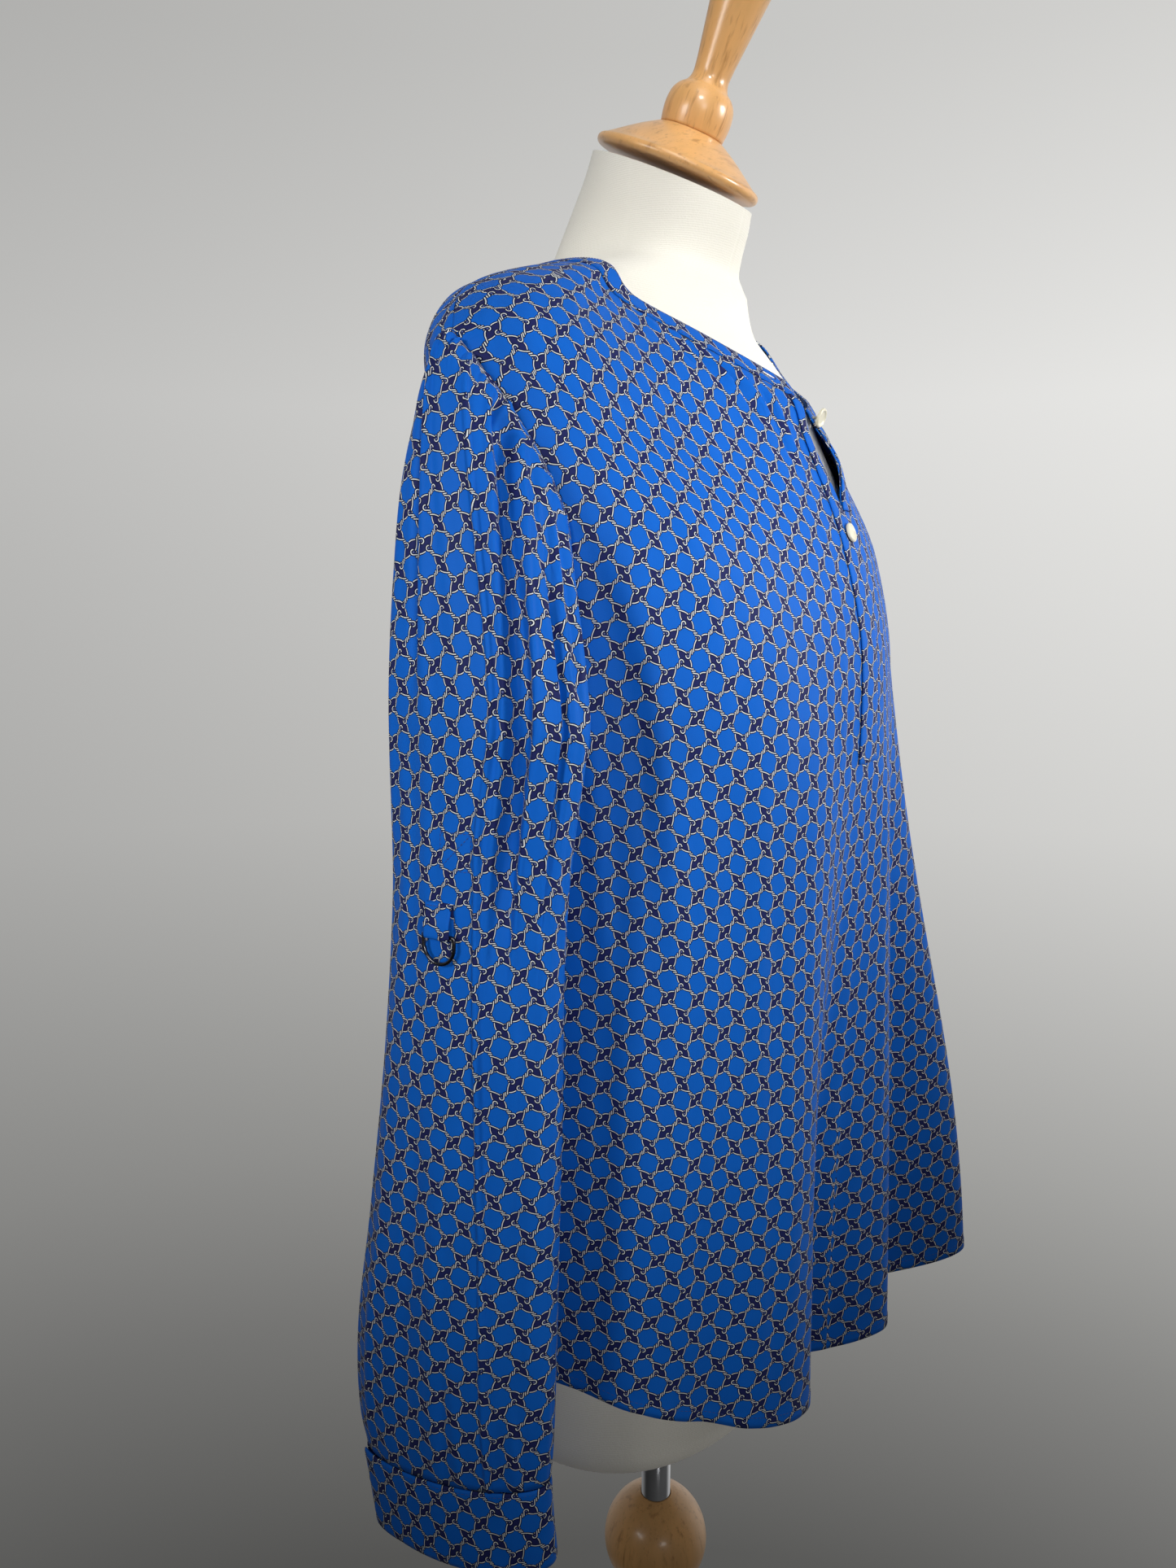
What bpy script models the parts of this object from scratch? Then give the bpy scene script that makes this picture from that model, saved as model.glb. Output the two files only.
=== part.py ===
"""A printed silk blouse worn by a padded, limbless dress form on a turned wooden stand.

Metres, +Z up. The origin is on the floor under the pole. The front faces -Y and
the wearer's right is -X. Heights on the body are given as a drop below the point
where the side of the neck meets the shoulder.
"""
import math

import bmesh
import bpy
from mathutils import Matrix, Vector

COLLECTION = "silk_blouse"
NECK_POINT_Z = 1.420
CLOTH = 0.0012
SEAM_GAP = 0.0003
BAND_WIDTH = 0.012
PLACKET_END_DROP = 0.285
OPENING_END_DROP = 0.143
PLACKET_NEAR = 0.0165
PLACKET_FAR = 0.0095
SEAM_ANGLE = 93.0
HOLLOW_DEPTH = 0.0145
HOLLOW_ANGLE = 35.0
LEFT_SLIP = 0.016
NECK_SEAM_ANGLE = 104.0
SHOULDER_TIP_DROP = 0.062
UNDERARM_DROP = 0.213
SLEEVE_TOP_DROP = 0.250
CUFF_SEAM_DROP = 0.666
CUFF_HEM_DROP = 0.713
HEM_FRONT_DROP = 0.673
HEM_BACK_DROP = 0.695
HEM_SIDE_DROP = 0.626
TAB_TOP_DROP = 0.336
RING_BAR_DROP = 0.3525
RING_WIDTH = 0.0212
RING_WIRE = 0.0019
TAB_WIDTH = 0.0160
BUTTON_RADIUS = 0.0058
BUTTON_SHANK = 0.0055
BUTTON_DROOP = math.radians(20.0)
CAP_TILT = math.radians(24.0)
CAP_Z = NECK_POINT_Z + 0.061
CAP_Y = -0.004
POLE_RADIUS = 0.0104
BALL_Z = 0.553
BALL_RADIUS = 0.037
BASE_RADIUS = 0.185

# Body sections by drop below the neck point: the form's half width, front and
# back depth, the cloth's half width, front and back depth, the squareness, and
# how far behind the pole the widest point lies.
SECTION_COLUMNS = (
    "drop", "half", "front", "back", "c_half", "c_front", "c_back", "square", "behind")
SECTIONS = (
    (0.000, 0.0700, 0.0430, 0.0800, 0.0722, 0.0450, 0.0820, 2.00, 0.020),
    (0.010, 0.1000, 0.0430, 0.0830, 0.1036, 0.0452, 0.0852, 2.00, 0.020),
    (0.020, 0.1320, 0.0450, 0.0860, 0.1362, 0.0474, 0.0885, 2.00, 0.020),
    (0.031, 0.1578, 0.0490, 0.0900, 0.1635, 0.0515, 0.0925, 2.00, 0.019),
    (0.045, 0.1760, 0.0590, 0.0940, 0.1830, 0.0614, 0.0965, 2.00, 0.016),
    (0.062, 0.1840, 0.0720, 0.0970, 0.1965, 0.0748, 0.0994, 1.95, 0.012),
    (0.080, 0.1850, 0.0850, 0.0985, 0.1990, 0.0879, 0.1012, 1.88, 0.008),
    (0.110, 0.1820, 0.0990, 0.1015, 0.1970, 0.1018, 0.1045, 1.84, 0.003),
    (0.160, 0.1700, 0.1180, 0.1030, 0.1870, 0.1208, 0.1080, 1.96, 0.000),
    (0.210, 0.1580, 0.1290, 0.1010, 0.1765, 0.1330, 0.1080, 2.08, 0.000),
    (0.260, 0.1490, 0.1310, 0.0950, 0.1730, 0.1370, 0.1080, 2.15, 0.000),
    (0.330, 0.1350, 0.1120, 0.0860, 0.1730, 0.1390, 0.1120, 2.20, 0.000),
    (0.410, 0.1230, 0.0920, 0.0800, 0.1740, 0.1400, 0.1200, 2.25, 0.000),
    (0.500, 0.1380, 0.0960, 0.0960, 0.1750, 0.1410, 0.1300, 2.30, 0.000),
    (0.600, 0.1570, 0.1020, 0.1080, 0.1760, 0.1420, 0.1420, 2.30, 0.000),
    (0.680, 0.1550, 0.1000, 0.1050, 0.1770, 0.1430, 0.1520, 2.30, 0.000),
    (0.720, 0.1490, 0.0970, 0.1010, 0.1775, 0.1435, 0.1560, 2.30, 0.000),
)

# The neck of the form above the neck point: height, half width, front and back
# depth, and the forward slope of the section's plane.
NECK_COLUMNS = ("rise", "half", "front", "back", "slope")
NECK = (
    (0.0580, 0.0475, 0.0500, 0.0460, 0.445),
    (0.0440, 0.0480, 0.0475, 0.0520, 0.400),
    (0.0260, 0.0490, 0.0430, 0.0620, 0.330),
    (0.0120, 0.0530, 0.0405, 0.0710, 0.220),
    (0.0030, 0.0610, 0.0410, 0.0770, 0.100),
)

# Flutes of the skirt: angle from centre front (plus is the wearer's left), half
# angle, and how far the hem stands out of its plain curve there.
FLUTE_COLUMNS = ("angle", "spread", "height")
FLUTES = (
    (-80.0, 9.0, -0.004),
    (-46.0, 9.0, -0.006),
    (-27.0, 6.0, 0.000),
    (-6.0, 8.0, -0.032),
    (11.0, 5.5, 0.008),
    (23.0, 5.0, -0.030),
    (35.0, 7.0, 0.062),
    (52.0, 8.0, -0.018),
    (72.0, 8.0, 0.006),
    (112.0, 8.0, -0.014),
    (131.0, 8.0, 0.028),
    (150.0, 8.0, -0.020),
    (172.0, 9.0, 0.022),
    (-168.0, 8.0, -0.018),
    (-147.0, 8.0, 0.026),
    (-126.0, 8.0, -0.014),
    (-106.0, 8.0, 0.010),
)

# Armhole edge of the front and back panels: angle around the body by drop.
ARMHOLE_COLUMNS = ("drop", "front", "back")
ARMHOLE = (
    (0.062, 92.7, 93.3),
    (0.074, 86.0, 97.5),
    (0.092, 79.0, 103.0),
    (0.130, 72.0, 109.0),
    (0.165, 72.0, 108.0),
    (0.193, 79.0, 101.0),
    (0.207, 87.0, 96.0),
    (0.213, 93.0, 93.0),
)

# Sleeve sections by drop: centre, half depth across, half width front to back,
# and how much lower the back of the section hangs than its front.
SLEEVE_COLUMNS = ("drop", "x", "y", "deep", "wide", "slope")
SLEEVES = (
    (0.250, 0.2100, -0.010, 0.0265, 0.0560, 0.00),
    (0.330, 0.2085, -0.003, 0.0250, 0.0510, 0.00),
    (0.420, 0.2080, 0.004, 0.0245, 0.0530, 0.02),
    (0.520, 0.2080, 0.013, 0.0245, 0.0590, 0.06),
    (0.600, 0.2085, 0.020, 0.0250, 0.0645, 0.12),
    (0.650, 0.2085, 0.021, 0.0235, 0.0635, 0.15),
    (0.666, 0.2085, 0.020, 0.0215, 0.0610, 0.16),
    (0.714, 0.2085, 0.014, 0.0210, 0.0585, 0.16),
)


def along(names, rows, column, where):
    """Smooth value of a table's column at a place given in its first column."""
    k = names.index(column)
    xs = [row[0] for row in rows]
    ys = [row[k] for row in rows]
    if where <= xs[0]:
        return ys[0]
    if where >= xs[-1]:
        return ys[-1]
    i = max(j for j in range(len(xs) - 1) if xs[j] <= where)
    h = xs[i + 1] - xs[i]
    t = (where - xs[i]) / h
    rise = (ys[i + 1] - ys[i]) / h
    before = (ys[i] - ys[i - 1]) / (xs[i] - xs[i - 1]) if i else rise
    after = (ys[i + 2] - ys[i + 1]) / (xs[i + 2] - xs[i + 1]) if i + 2 < len(xs) else rise
    m0 = 0.5 * (before + rise)
    m1 = 0.5 * (rise + after)
    a = (2 * t ** 3 - 3 * t ** 2 + 1) * ys[i]
    b = (t ** 3 - 2 * t ** 2 + t) * h * m0
    c = (3 * t ** 2 - 2 * t ** 3) * ys[i + 1]
    d = (t ** 3 - t ** 2) * h * m1
    return a + b + c + d


def smooth(low, high, value):
    """Soft step from 0 at low to 1 at high."""
    t = min(1.0, max(0.0, (value - low) / (high - low)))
    return t * t * (3.0 - 2.0 * t)


def oval(half, front, back, square, angle, behind=0.0):
    """Point of a squared oval, measured from centre front."""
    s = math.sin(math.radians(angle))
    c = math.cos(math.radians(angle))
    power = 2.0 / square
    x = math.copysign(half * abs(s) ** power, s)
    depth = front + behind if c >= 0 else back - behind
    return x, behind - math.copysign(depth * abs(c) ** power, c)


def hollow(angle, drop):
    """Shallow hollow of the chest under each collar bone."""
    turn = abs((angle + 180.0) % 360.0 - 180.0)
    deep = HOLLOW_DEPTH * smooth(0.0, 0.032, drop) * (1.0 - smooth(0.080, 0.165, drop))
    return deep * math.exp(-((turn - HOLLOW_ANGLE) / 20.0) ** 2)


def form_point(angle, drop):
    """Point on the dress form below the neck point."""
    names = ("half", "front", "back", "square", "behind")
    size = [along(SECTION_COLUMNS, SECTIONS, c, drop) for c in names]
    x, y = oval(size[0], size[1], size[2], size[3], angle, size[4])
    return Vector((x, y + hollow(angle, drop), NECK_POINT_Z - drop))


def flute(angle, drop):
    """How far the skirt's folds stand out at this angle and drop."""
    grow = smooth(0.20, 0.70, drop) ** 0.9 * 1.12
    total = 0.0
    for middle, spread, height in FLUTES:
        away = (angle - middle + 180.0) % 360.0 - 180.0
        width = spread * (1.0 + 0.25 * (1.0 - min(1.0, grow)))
        total += height * math.exp(-(away / width) ** 2)
    return total * grow


def shoulder_angle(drop):
    """Where the shoulder seam runs, a little behind the shoulder's ridge."""
    return SEAM_ANGLE + (NECK_SEAM_ANGLE - SEAM_ANGLE) * (1.0 - smooth(0.020, 0.060, drop))


def seam_half(drop):
    """Half the gap of a side or shoulder seam, as an angle round the body."""
    back = along(SECTION_COLUMNS, SECTIONS, "c_back", drop)
    behind = along(SECTION_COLUMNS, SECTIONS, "behind", drop)
    return math.degrees(SEAM_GAP / (back - behind))


def opening_half(drop):
    """Half width of the neck opening between the two placket edges."""
    return 0.0006 + 0.0075 * (1.0 - smooth(0.070, OPENING_END_DROP, drop)) ** 1.3


def slip(angle, drop):
    """How far the unbuttoned left side of the neck has slipped down."""
    if angle <= 0.0 or angle > 120.0:
        return 0.0
    fall = smooth(0.0, 1.5, angle) * math.exp(-((angle - 24.0) / 34.0) ** 2)
    return LEFT_SLIP * fall * (1.0 - smooth(0.075, OPENING_END_DROP, drop))


def lift(angle, drop):
    """The edges of the opening stand off the chest: the band's end and the left placket."""
    if abs(angle) > 40.0:
        return 0.0
    fall = math.exp(-(angle / 9.0) ** 2)
    if angle < 0.0:
        return 0.004 * fall * (1.0 - smooth(0.078, 0.098, drop))
    return 0.0065 * fall * smooth(0.084, 0.110, drop) * (1.0 - smooth(0.108, OPENING_END_DROP, drop))


def plain_cloth(angle, drop):
    """Inner face of the cloth at this angle and drop."""
    drop += slip(angle, drop)
    names = ("c_half", "c_front", "c_back", "square", "behind")
    size = [along(SECTION_COLUMNS, SECTIONS, c, drop) for c in names]
    x, y = oval(size[0], size[1], size[2], size[3], angle, size[4])
    rest = 0.0013 * (1.0 - smooth(0.030, 0.110, drop))
    place = Vector((x, y + hollow(angle, drop), NECK_POINT_Z - drop + rest))
    stand = flute(angle, drop) + lift(angle, drop)
    if not stand:
        return place
    across = Vector((x / size[0] ** 2, y / (size[1] if y < 0 else size[2]) ** 2, 0.0)).normalized()
    radial = Vector((x, y, 0.0)).normalized()
    return place + (across + radial).normalized() * stand


def cloth_point(angle, drop, out=0.0):
    """Point on the cloth's inner face, moved out along the surface normal."""
    here = plain_cloth(angle, drop)
    if not out:
        return here
    across = plain_cloth(angle + 0.4, drop) - plain_cloth(angle - 0.4, drop)
    down = plain_cloth(angle, drop + 0.0008) - plain_cloth(angle, drop - 0.0008)
    normal = across.cross(down).normalized()
    if normal.dot(Vector((here.x, here.y, 0.02))) < 0:
        normal = -normal
    return here + normal * out


def angle_at(x, drop):
    """Angle around the front whose point on the cloth lies at this x."""
    half = along(SECTION_COLUMNS, SECTIONS, "c_half", drop)
    square = along(SECTION_COLUMNS, SECTIONS, "square", drop)
    share = min(1.0, abs(x) / half) ** (square / 2.0)
    return math.copysign(math.degrees(math.asin(share)), x)


def neck_drop(angle):
    """Drop of the neckband's free edge at this angle from centre front."""
    turn = abs(angle)
    if turn <= NECK_SEAM_ANGLE:
        return 0.003 + 0.068 * max(0.0, math.exp(-(turn / 38.0) ** 1.25) - 0.0296)
    return 0.003 + 0.010 * smooth(NECK_SEAM_ANGLE, 180.0, turn)


def band_seam_drop(angle):
    """Drop of the seam between the neckband and the panels."""
    turn = abs(angle)
    flat = 0.0105 - 0.0060 * smooth(10.0, 60.0, turn)
    if turn > NECK_SEAM_ANGLE:
        flat = 0.0045 + 0.0040 * smooth(NECK_SEAM_ANGLE, 160.0, turn)
    return neck_drop(angle) + flat


def panel_top(angle):
    """Upper edge of the panels, just clear of the neckband."""
    return band_seam_drop(angle) + 0.0006 + 0.0005 * (1.0 - smooth(5.0, 60.0, abs(angle)))


def hem_drop(angle):
    """Shirt-tail hem: low in front and behind, high at the sides."""
    turn = abs(angle)
    if turn <= 90.0:
        return HEM_SIDE_DROP + (HEM_FRONT_DROP - HEM_SIDE_DROP) * (1.0 - smooth(8.0, 86.0, turn))
    return HEM_SIDE_DROP + (HEM_BACK_DROP - HEM_SIDE_DROP) * smooth(94.0, 160.0, turn)


def reset_scene():
    """Start from an empty scene."""
    for item in list(bpy.data.objects):
        bpy.data.objects.remove(item, do_unlink=True)


def make_collection(name):
    """Collection that holds the model."""
    group = bpy.data.collections.new(name)
    bpy.context.scene.collection.children.link(group)
    return group


def make_material(name, colour, rough, metal=0.0):
    """Plain principled material."""
    material = bpy.data.materials.new(name)
    material.use_nodes = True
    shader = material.node_tree.nodes["Principled BSDF"]
    shader.inputs["Base Color"].default_value = (*colour, 1.0)
    shader.inputs["Roughness"].default_value = rough
    shader.inputs["Metallic"].default_value = metal
    return material


def add_object(group, name, mesh, material):
    """Link a mesh as a named, smoothly shaded object."""
    item = bpy.data.objects.new(name, mesh)
    group.objects.link(item)
    mesh.materials.append(material)
    mesh.shade_smooth()
    mesh.set_sharp_from_angle(angle=math.radians(50.0))
    return item


def grid_mesh(name, rows, closed=False, skip=None, flip=False):
    """Open surface through rows of points, as a loft."""
    mesh = bpy.data.meshes.new(name)
    shape = bmesh.new()
    verts = [[shape.verts.new(p) for p in row] for row in rows]
    count = len(rows[0])
    last = count if closed else count - 1
    for i in range(len(rows) - 1):
        for j in range(last):
            if skip and skip(i, j):
                continue
            k = (j + 1) % count
            loop = [verts[i][j], verts[i][k], verts[i + 1][k], verts[i + 1][j]]
            shape.faces.new(loop[::-1] if flip else loop)
    loose = [v for v in shape.verts if not v.link_faces]
    bmesh.ops.delete(shape, geom=loose, context="VERTS")
    shape.to_mesh(mesh)
    shape.free()
    return mesh


def shell(group, name, rows, material, thick=CLOTH, closed=False, skip=None, flip=False):
    """Cloth panel: the loft thickened outward."""
    item = add_object(group, name, grid_mesh(name, rows, closed, skip, flip), material)
    solid = item.modifiers.new("wall", "SOLIDIFY")
    solid.thickness = thick
    solid.offset = 1.0
    solid.use_even_offset = False
    return item


def solid_loft(group, name, rows, material):
    """Closed solid through rings of points, capped at both ends."""
    mesh = bpy.data.meshes.new(name)
    shape = bmesh.new()
    verts = [[shape.verts.new(p) for p in row] for row in rows]
    count = len(rows[0])
    for i in range(len(rows) - 1):
        for j in range(count):
            k = (j + 1) % count
            shape.faces.new((verts[i][j], verts[i][k], verts[i + 1][k], verts[i + 1][j]))
    shape.faces.new(verts[0][::-1])
    shape.faces.new(verts[-1])
    bmesh.ops.recalc_face_normals(shape, faces=shape.faces)
    shape.to_mesh(mesh)
    shape.free()
    return add_object(group, name, mesh, material)


def turned(group, name, profile, material, steps=40, place=None):
    """Turned piece: a profile of (radius, height) from top to bottom, screwed round."""
    mesh = bpy.data.meshes.new(name)
    points = [(r, 0.0, z) for r, z in profile]
    edges = [(i, i + 1) for i in range(len(points) - 1)]
    mesh.from_pydata(points, edges, [])
    item = bpy.data.objects.new(name, mesh)
    group.objects.link(item)
    mesh.materials.append(material)
    screw = item.modifiers.new("turn", "SCREW")
    screw.steps = steps
    screw.render_steps = steps
    screw.use_merge_vertices = True
    screw.merge_threshold = 0.00001
    screw.use_smooth_shade = True
    if place is not None:
        item.matrix_world = place
    return item


def arc(centre_r, centre_z, radius, start, end, count):
    """Points of a turned bead between two angles, in degrees from the horizontal."""
    points = []
    for i in range(count + 1):
        a = math.radians(start + (end - start) * i / count)
        points.append((centre_r + radius * math.cos(a), centre_z + radius * math.sin(a)))
    return points


def spaced(start, end, count, ease=0.0):
    """Evenly eased numbers from start to end."""
    out = []
    for i in range(count + 1):
        t = i / count
        t = t + ease * t * (1.0 - t)
        out.append(start + (end - start) * t)
    return out


def build_form(group, material):
    """Padded torso of the dress form with its neck."""
    rings = []
    columns = 48
    angles = [360.0 * j / columns for j in range(columns)]
    for rise, half, front, back, slope in NECK:
        ring = []
        for angle in angles:
            x, y = oval(half, front, back, 2.0, angle)
            ring.append(Vector((x, y, NECK_POINT_Z + rise + slope * y)))
        rings.append(ring)
    drops = [0.006, 0.010, 0.015, 0.020, 0.0255, 0.031, 0.038, 0.045, 0.0535, 0.062, 0.073]
    drops += [0.090, 0.115, 0.145, 0.180, 0.220, 0.260, 0.310, 0.365, 0.420, 0.490, 0.560]
    drops += [0.620, 0.675]
    for drop in drops:
        rings.append([form_point(angle, drop) for angle in angles])
    for drop, shrink in ((0.692, 0.985), (0.703, 0.94), (0.709, 0.86), (0.711, 0.72)):
        ring = []
        for angle in angles:
            p = form_point(angle, 0.68)
            ring.append(Vector((p.x * shrink, p.y * shrink, NECK_POINT_Z - drop)))
        rings.append(ring)
    return solid_loft(group, "form_torso", rings, material)


def cap_place():
    """Frame of the wooden cap, tipped forward on the neck."""
    return Matrix.Translation((0.0, CAP_Y, CAP_Z)) @ Matrix.Rotation(CAP_TILT, 4, "X")


def build_stand(group, wood, chrome):
    """Wooden neck cap with its finial, chrome pole, turned column and round base."""
    cap = [(0.0, 0.0245), (0.0200, 0.0245), (0.0300, 0.0190), (0.0490, 0.0066)]
    cap += arc(0.0485, 0.0038, 0.0030, 60.0, -80.0, 6)
    cap += [(0.0470, 0.0006), (0.0, 0.0006)]
    turned(group, "neck_cap", cap, wood, 32, cap_place())
    finial = [(0.0, 0.1500), (0.0110, 0.1490), (0.0175, 0.1450), (0.0210, 0.1380)]
    finial += [(0.0213, 0.1300), (0.0195, 0.1170), (0.0160, 0.0930), (0.0130, 0.0720)]
    finial += [(0.0114, 0.0600), (0.0112, 0.0540), (0.0128, 0.0500), (0.0165, 0.0470)]
    finial += [(0.0193, 0.0430), (0.0206, 0.0370), (0.0205, 0.0310), (0.0196, 0.0250)]
    finial += [(0.0192, 0.0248), (0.0, 0.0248)]
    turned(group, "finial", finial, wood, 24, cap_place())
    top = NECK_POINT_Z - 0.7113
    pole = [(0.0, top), (POLE_RADIUS, top), (POLE_RADIUS, 0.300), (0.0, 0.300)]
    turned(group, "pole", pole, chrome, 24)
    bore = POLE_RADIUS + 0.0004
    column = [(0.0, 0.2950), (bore, 0.2950), (bore, BALL_Z + 0.0355)]
    column += arc(0.0, BALL_Z, BALL_RADIUS, 72.0, -52.0, 10)
    column += [(0.0215, BALL_Z - 0.0320), (0.0215, BALL_Z - 0.0360)]
    column += arc(0.0180, BALL_Z - 0.0520, 0.0160, 75.0, -75.0, 5)
    column += [(0.0200, BALL_Z - 0.0700), (0.0195, 0.440), (0.0210, 0.300), (0.0240, 0.160)]
    column += [(0.0250, 0.110), (0.0330, 0.100)] + arc(0.0300, 0.088, 0.0110, 70.0, -70.0, 4)
    column += [(0.0300, 0.0765), (0.0300, 0.0283), (0.0, 0.0283)]
    turned(group, "column", column, wood, 24)
    base = [(0.0, 0.0280), (0.0600, 0.0280), (0.1500, 0.0215), (BASE_RADIUS - 0.006, 0.0180)]
    base += arc(BASE_RADIUS - 0.006, 0.0120, 0.0060, 80.0, 0.0, 4)
    base += [(BASE_RADIUS, 0.0030), (BASE_RADIUS - 0.003, 0.0), (0.0, 0.0)]
    turned(group, "base", base, wood, 40)


def front_rows(side, columns, angle_start):
    """Grid of one half of the front: rows from the neck seam down to the hem."""
    right = [(NECK_SEAM_ANGLE - seam_half(0.0), panel_top(NECK_SEAM_ANGLE))]
    for drop in (0.020, 0.033, 0.047):
        right.append((shoulder_angle(drop) - seam_half(drop), drop))
    for drop in (0.062, 0.077, 0.098, 0.130, 0.163, 0.190, 0.205, UNDERARM_DROP):
        right.append((along(ARMHOLE_COLUMNS, ARMHOLE, "front", drop) - seam_half(drop), drop))
    for share in spaced(0.0, 1.0, 8)[1:]:
        drop = UNDERARM_DROP + (hem_drop(SEAM_ANGLE) - UNDERARM_DROP) * share
        right.append((SEAM_ANGLE - seam_half(drop), drop))
    count = len(right)
    rows = []
    for i, (far_angle, far_drop) in enumerate(right):
        t = i / (count - 1)
        row = []
        for s in columns:
            row.append(front_cell(side, s, t, far_angle, far_drop, angle_start))
        rows.append(row)
    return rows


def front_cell(side, s, t, far_angle, far_drop, angle_start):
    """Angle and drop of one grid point of the front half."""
    top = panel_top(0.0)
    near_drop = top + (HEM_FRONT_DROP - top) * (0.55 * t + 0.45 * t * t)
    near_angle = angle_start(near_drop)
    angle = near_angle + (far_angle - near_angle) * s
    edge = panel_top(angle)
    share = smooth(0.0, 1.0, s) * 0.5 + s * 0.5
    plain = near_drop + (far_drop - near_drop) * share
    start = top + (panel_top(NECK_SEAM_ANGLE) - top) * share
    hem = HEM_FRONT_DROP + (hem_drop(SEAM_ANGLE) - HEM_FRONT_DROP) * share
    fade = (1.0 - t) ** 2.2
    drop = plain + (edge - start) * fade + (hem_drop(angle) - hem) * t ** 3
    return side * angle, drop


def opening_angle(drop):
    """Angle of the opening's edge, or of centre front below the opening."""
    return abs(angle_at(opening_half(drop), drop))


def build_front(group, material):
    """Front panel, slit at centre from the neck to the end of the placket."""
    columns = spaced(0.0, 1.0, 16, -0.35)
    right = front_rows(-1.0, columns, opening_angle)
    left = front_rows(1.0, columns, opening_angle)
    rows = []
    for a, b in zip(right, left):
        rows.append([cloth_point(*cell) for cell in a[::-1] + b])
    middle = len(columns) - 1
    slit = [i for i, row in enumerate(right) if row[0][1] < PLACKET_END_DROP - 0.012]

    def skip(i, j):
        return j == middle and i in slit

    return shell(group, "blouse_front", rows, material, skip=skip)


def back_rows(columns):
    """Grid of the back: rows from the neck seam and shoulder down to the hem."""
    side = [(NECK_SEAM_ANGLE + seam_half(0.0), panel_top(NECK_SEAM_ANGLE))]
    for drop in (0.020, 0.033, 0.047):
        side.append((shoulder_angle(drop) + seam_half(drop), drop))
    for drop in (0.062, 0.077, 0.098, 0.130, 0.163, 0.190, 0.205, UNDERARM_DROP):
        side.append((along(ARMHOLE_COLUMNS, ARMHOLE, "back", drop) + seam_half(drop), drop))
    for share in spaced(0.0, 1.0, 8)[1:]:
        drop = UNDERARM_DROP + (hem_drop(SEAM_ANGLE) - UNDERARM_DROP) * share
        side.append((SEAM_ANGLE + seam_half(drop), drop))
    count = len(side)
    rows = []
    for i, (far_angle, far_drop) in enumerate(side):
        t = i / (count - 1)
        row = []
        for s in columns:
            row.append(back_cell(s, t, far_angle, far_drop))
        rows.append(row)
    return rows


def back_cell(s, t, far_angle, far_drop):
    """Angle and drop of one grid point of the back; s runs from -1 to 1."""
    turn = abs(s)
    top = panel_top(180.0)
    near_drop = top + (HEM_BACK_DROP - top) * (0.6 * t + 0.4 * t * t)
    angle = 180.0 + (far_angle - 180.0) * turn
    share = smooth(0.0, 1.0, turn) * 0.5 + turn * 0.5
    plain = near_drop + (far_drop - near_drop) * share
    start = top + (panel_top(NECK_SEAM_ANGLE) - top) * share
    hem = HEM_BACK_DROP + (hem_drop(SEAM_ANGLE) - HEM_BACK_DROP) * share
    edge = panel_top(angle)
    drop = plain + (edge - start) * (1.0 - t) ** 2.2 + (hem_drop(angle) - hem) * t ** 3
    return angle if s <= 0 else 360.0 - angle, drop


def build_back(group, material):
    """Back panel in one piece."""
    columns = spaced(-1.0, 1.0, 26)
    rows = []
    for row in back_rows(columns):
        rows.append([cloth_point(angle, drop) for angle, drop in row])
    return shell(group, "blouse_back", rows, material)


def build_neckband(group, material):
    """Narrow band round the neck, open at centre front."""
    rows = []
    start = opening_angle(0.075)
    angles = [start + (92.0 - start) * (0.45 * t + 0.55 * t * t) for t in spaced(0.0, 1.0, 18)]
    angles += [92.0 + 88.0 * t for t in spaced(0.0, 1.0, 13)[1:]]
    angles += [360.0 - a for a in angles[::-1][1:]]
    for share in (0.0, 1.0):
        row = []
        for angle in angles:
            turn = angle if angle <= 180.0 else angle - 360.0
            high = neck_drop(turn)
            low = band_seam_drop(turn) + 0.0001
            row.append(cloth_point(turn, high + (low - high) * share))
        rows.append(row)
    return shell(group, "neckband", rows, material)


def strip_rows(edges, out):
    """Rows of points across a strip on the front, from x limits at each drop."""
    rows = []
    first = edges[0][0]
    for drop, left, right, count in edges:
        row = []
        fade = max(0.0, 1.0 - (drop - first) / 0.040) ** 2
        for i in range(count + 1):
            x = left + (right - left) * i / count
            lower = drop + (panel_top(angle_at(x, drop)) + 0.0002 - first) * fade
            row.append(cloth_point(angle_at(x, lower), lower, out))
        rows.append(row)
    return rows


def build_plackets(group, material):
    """Right placket lapped over the front, and the left one standing open."""
    top = band_seam_drop(0.0) + 0.0009
    over = []
    for drop in spaced(top, PLACKET_END_DROP, 14):
        free = -opening_half(drop) - 0.0002
        if drop > OPENING_END_DROP:
            free = PLACKET_FAR * smooth(OPENING_END_DROP, OPENING_END_DROP + 0.03, drop) - 0.0008
        over.append((drop, -PLACKET_NEAR, free, 5))
    rows = strip_rows(over, CLOTH + SEAM_GAP)
    shell(group, "placket_right", rows, material, 0.0010)
    under = []
    for drop in spaced(top, OPENING_END_DROP - 0.004, 7):
        under.append((drop, opening_half(drop) + 0.0002, PLACKET_NEAR + 0.003, 4))
    rows = strip_rows(under, CLOTH + SEAM_GAP)
    shell(group, "placket_left", rows, material, 0.0010)


def sleeve_ring(side, drop, columns, out=0.0):
    """Level section of a sleeve, from its outermost point round by the front."""
    names = ("x", "y", "deep", "wide", "slope")
    x, y, deep, wide, slope = [along(SLEEVE_COLUMNS, SLEEVES, c, drop) for c in names]
    ring = []
    for turn in columns:
        a = math.radians(turn)
        px = x + (deep + out) * math.cos(a)
        py = y - (wide + out) * math.sin(a)
        ring.append(Vector((side * px, py, NECK_POINT_Z - drop - slope * (py - y))))
    return ring


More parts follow.
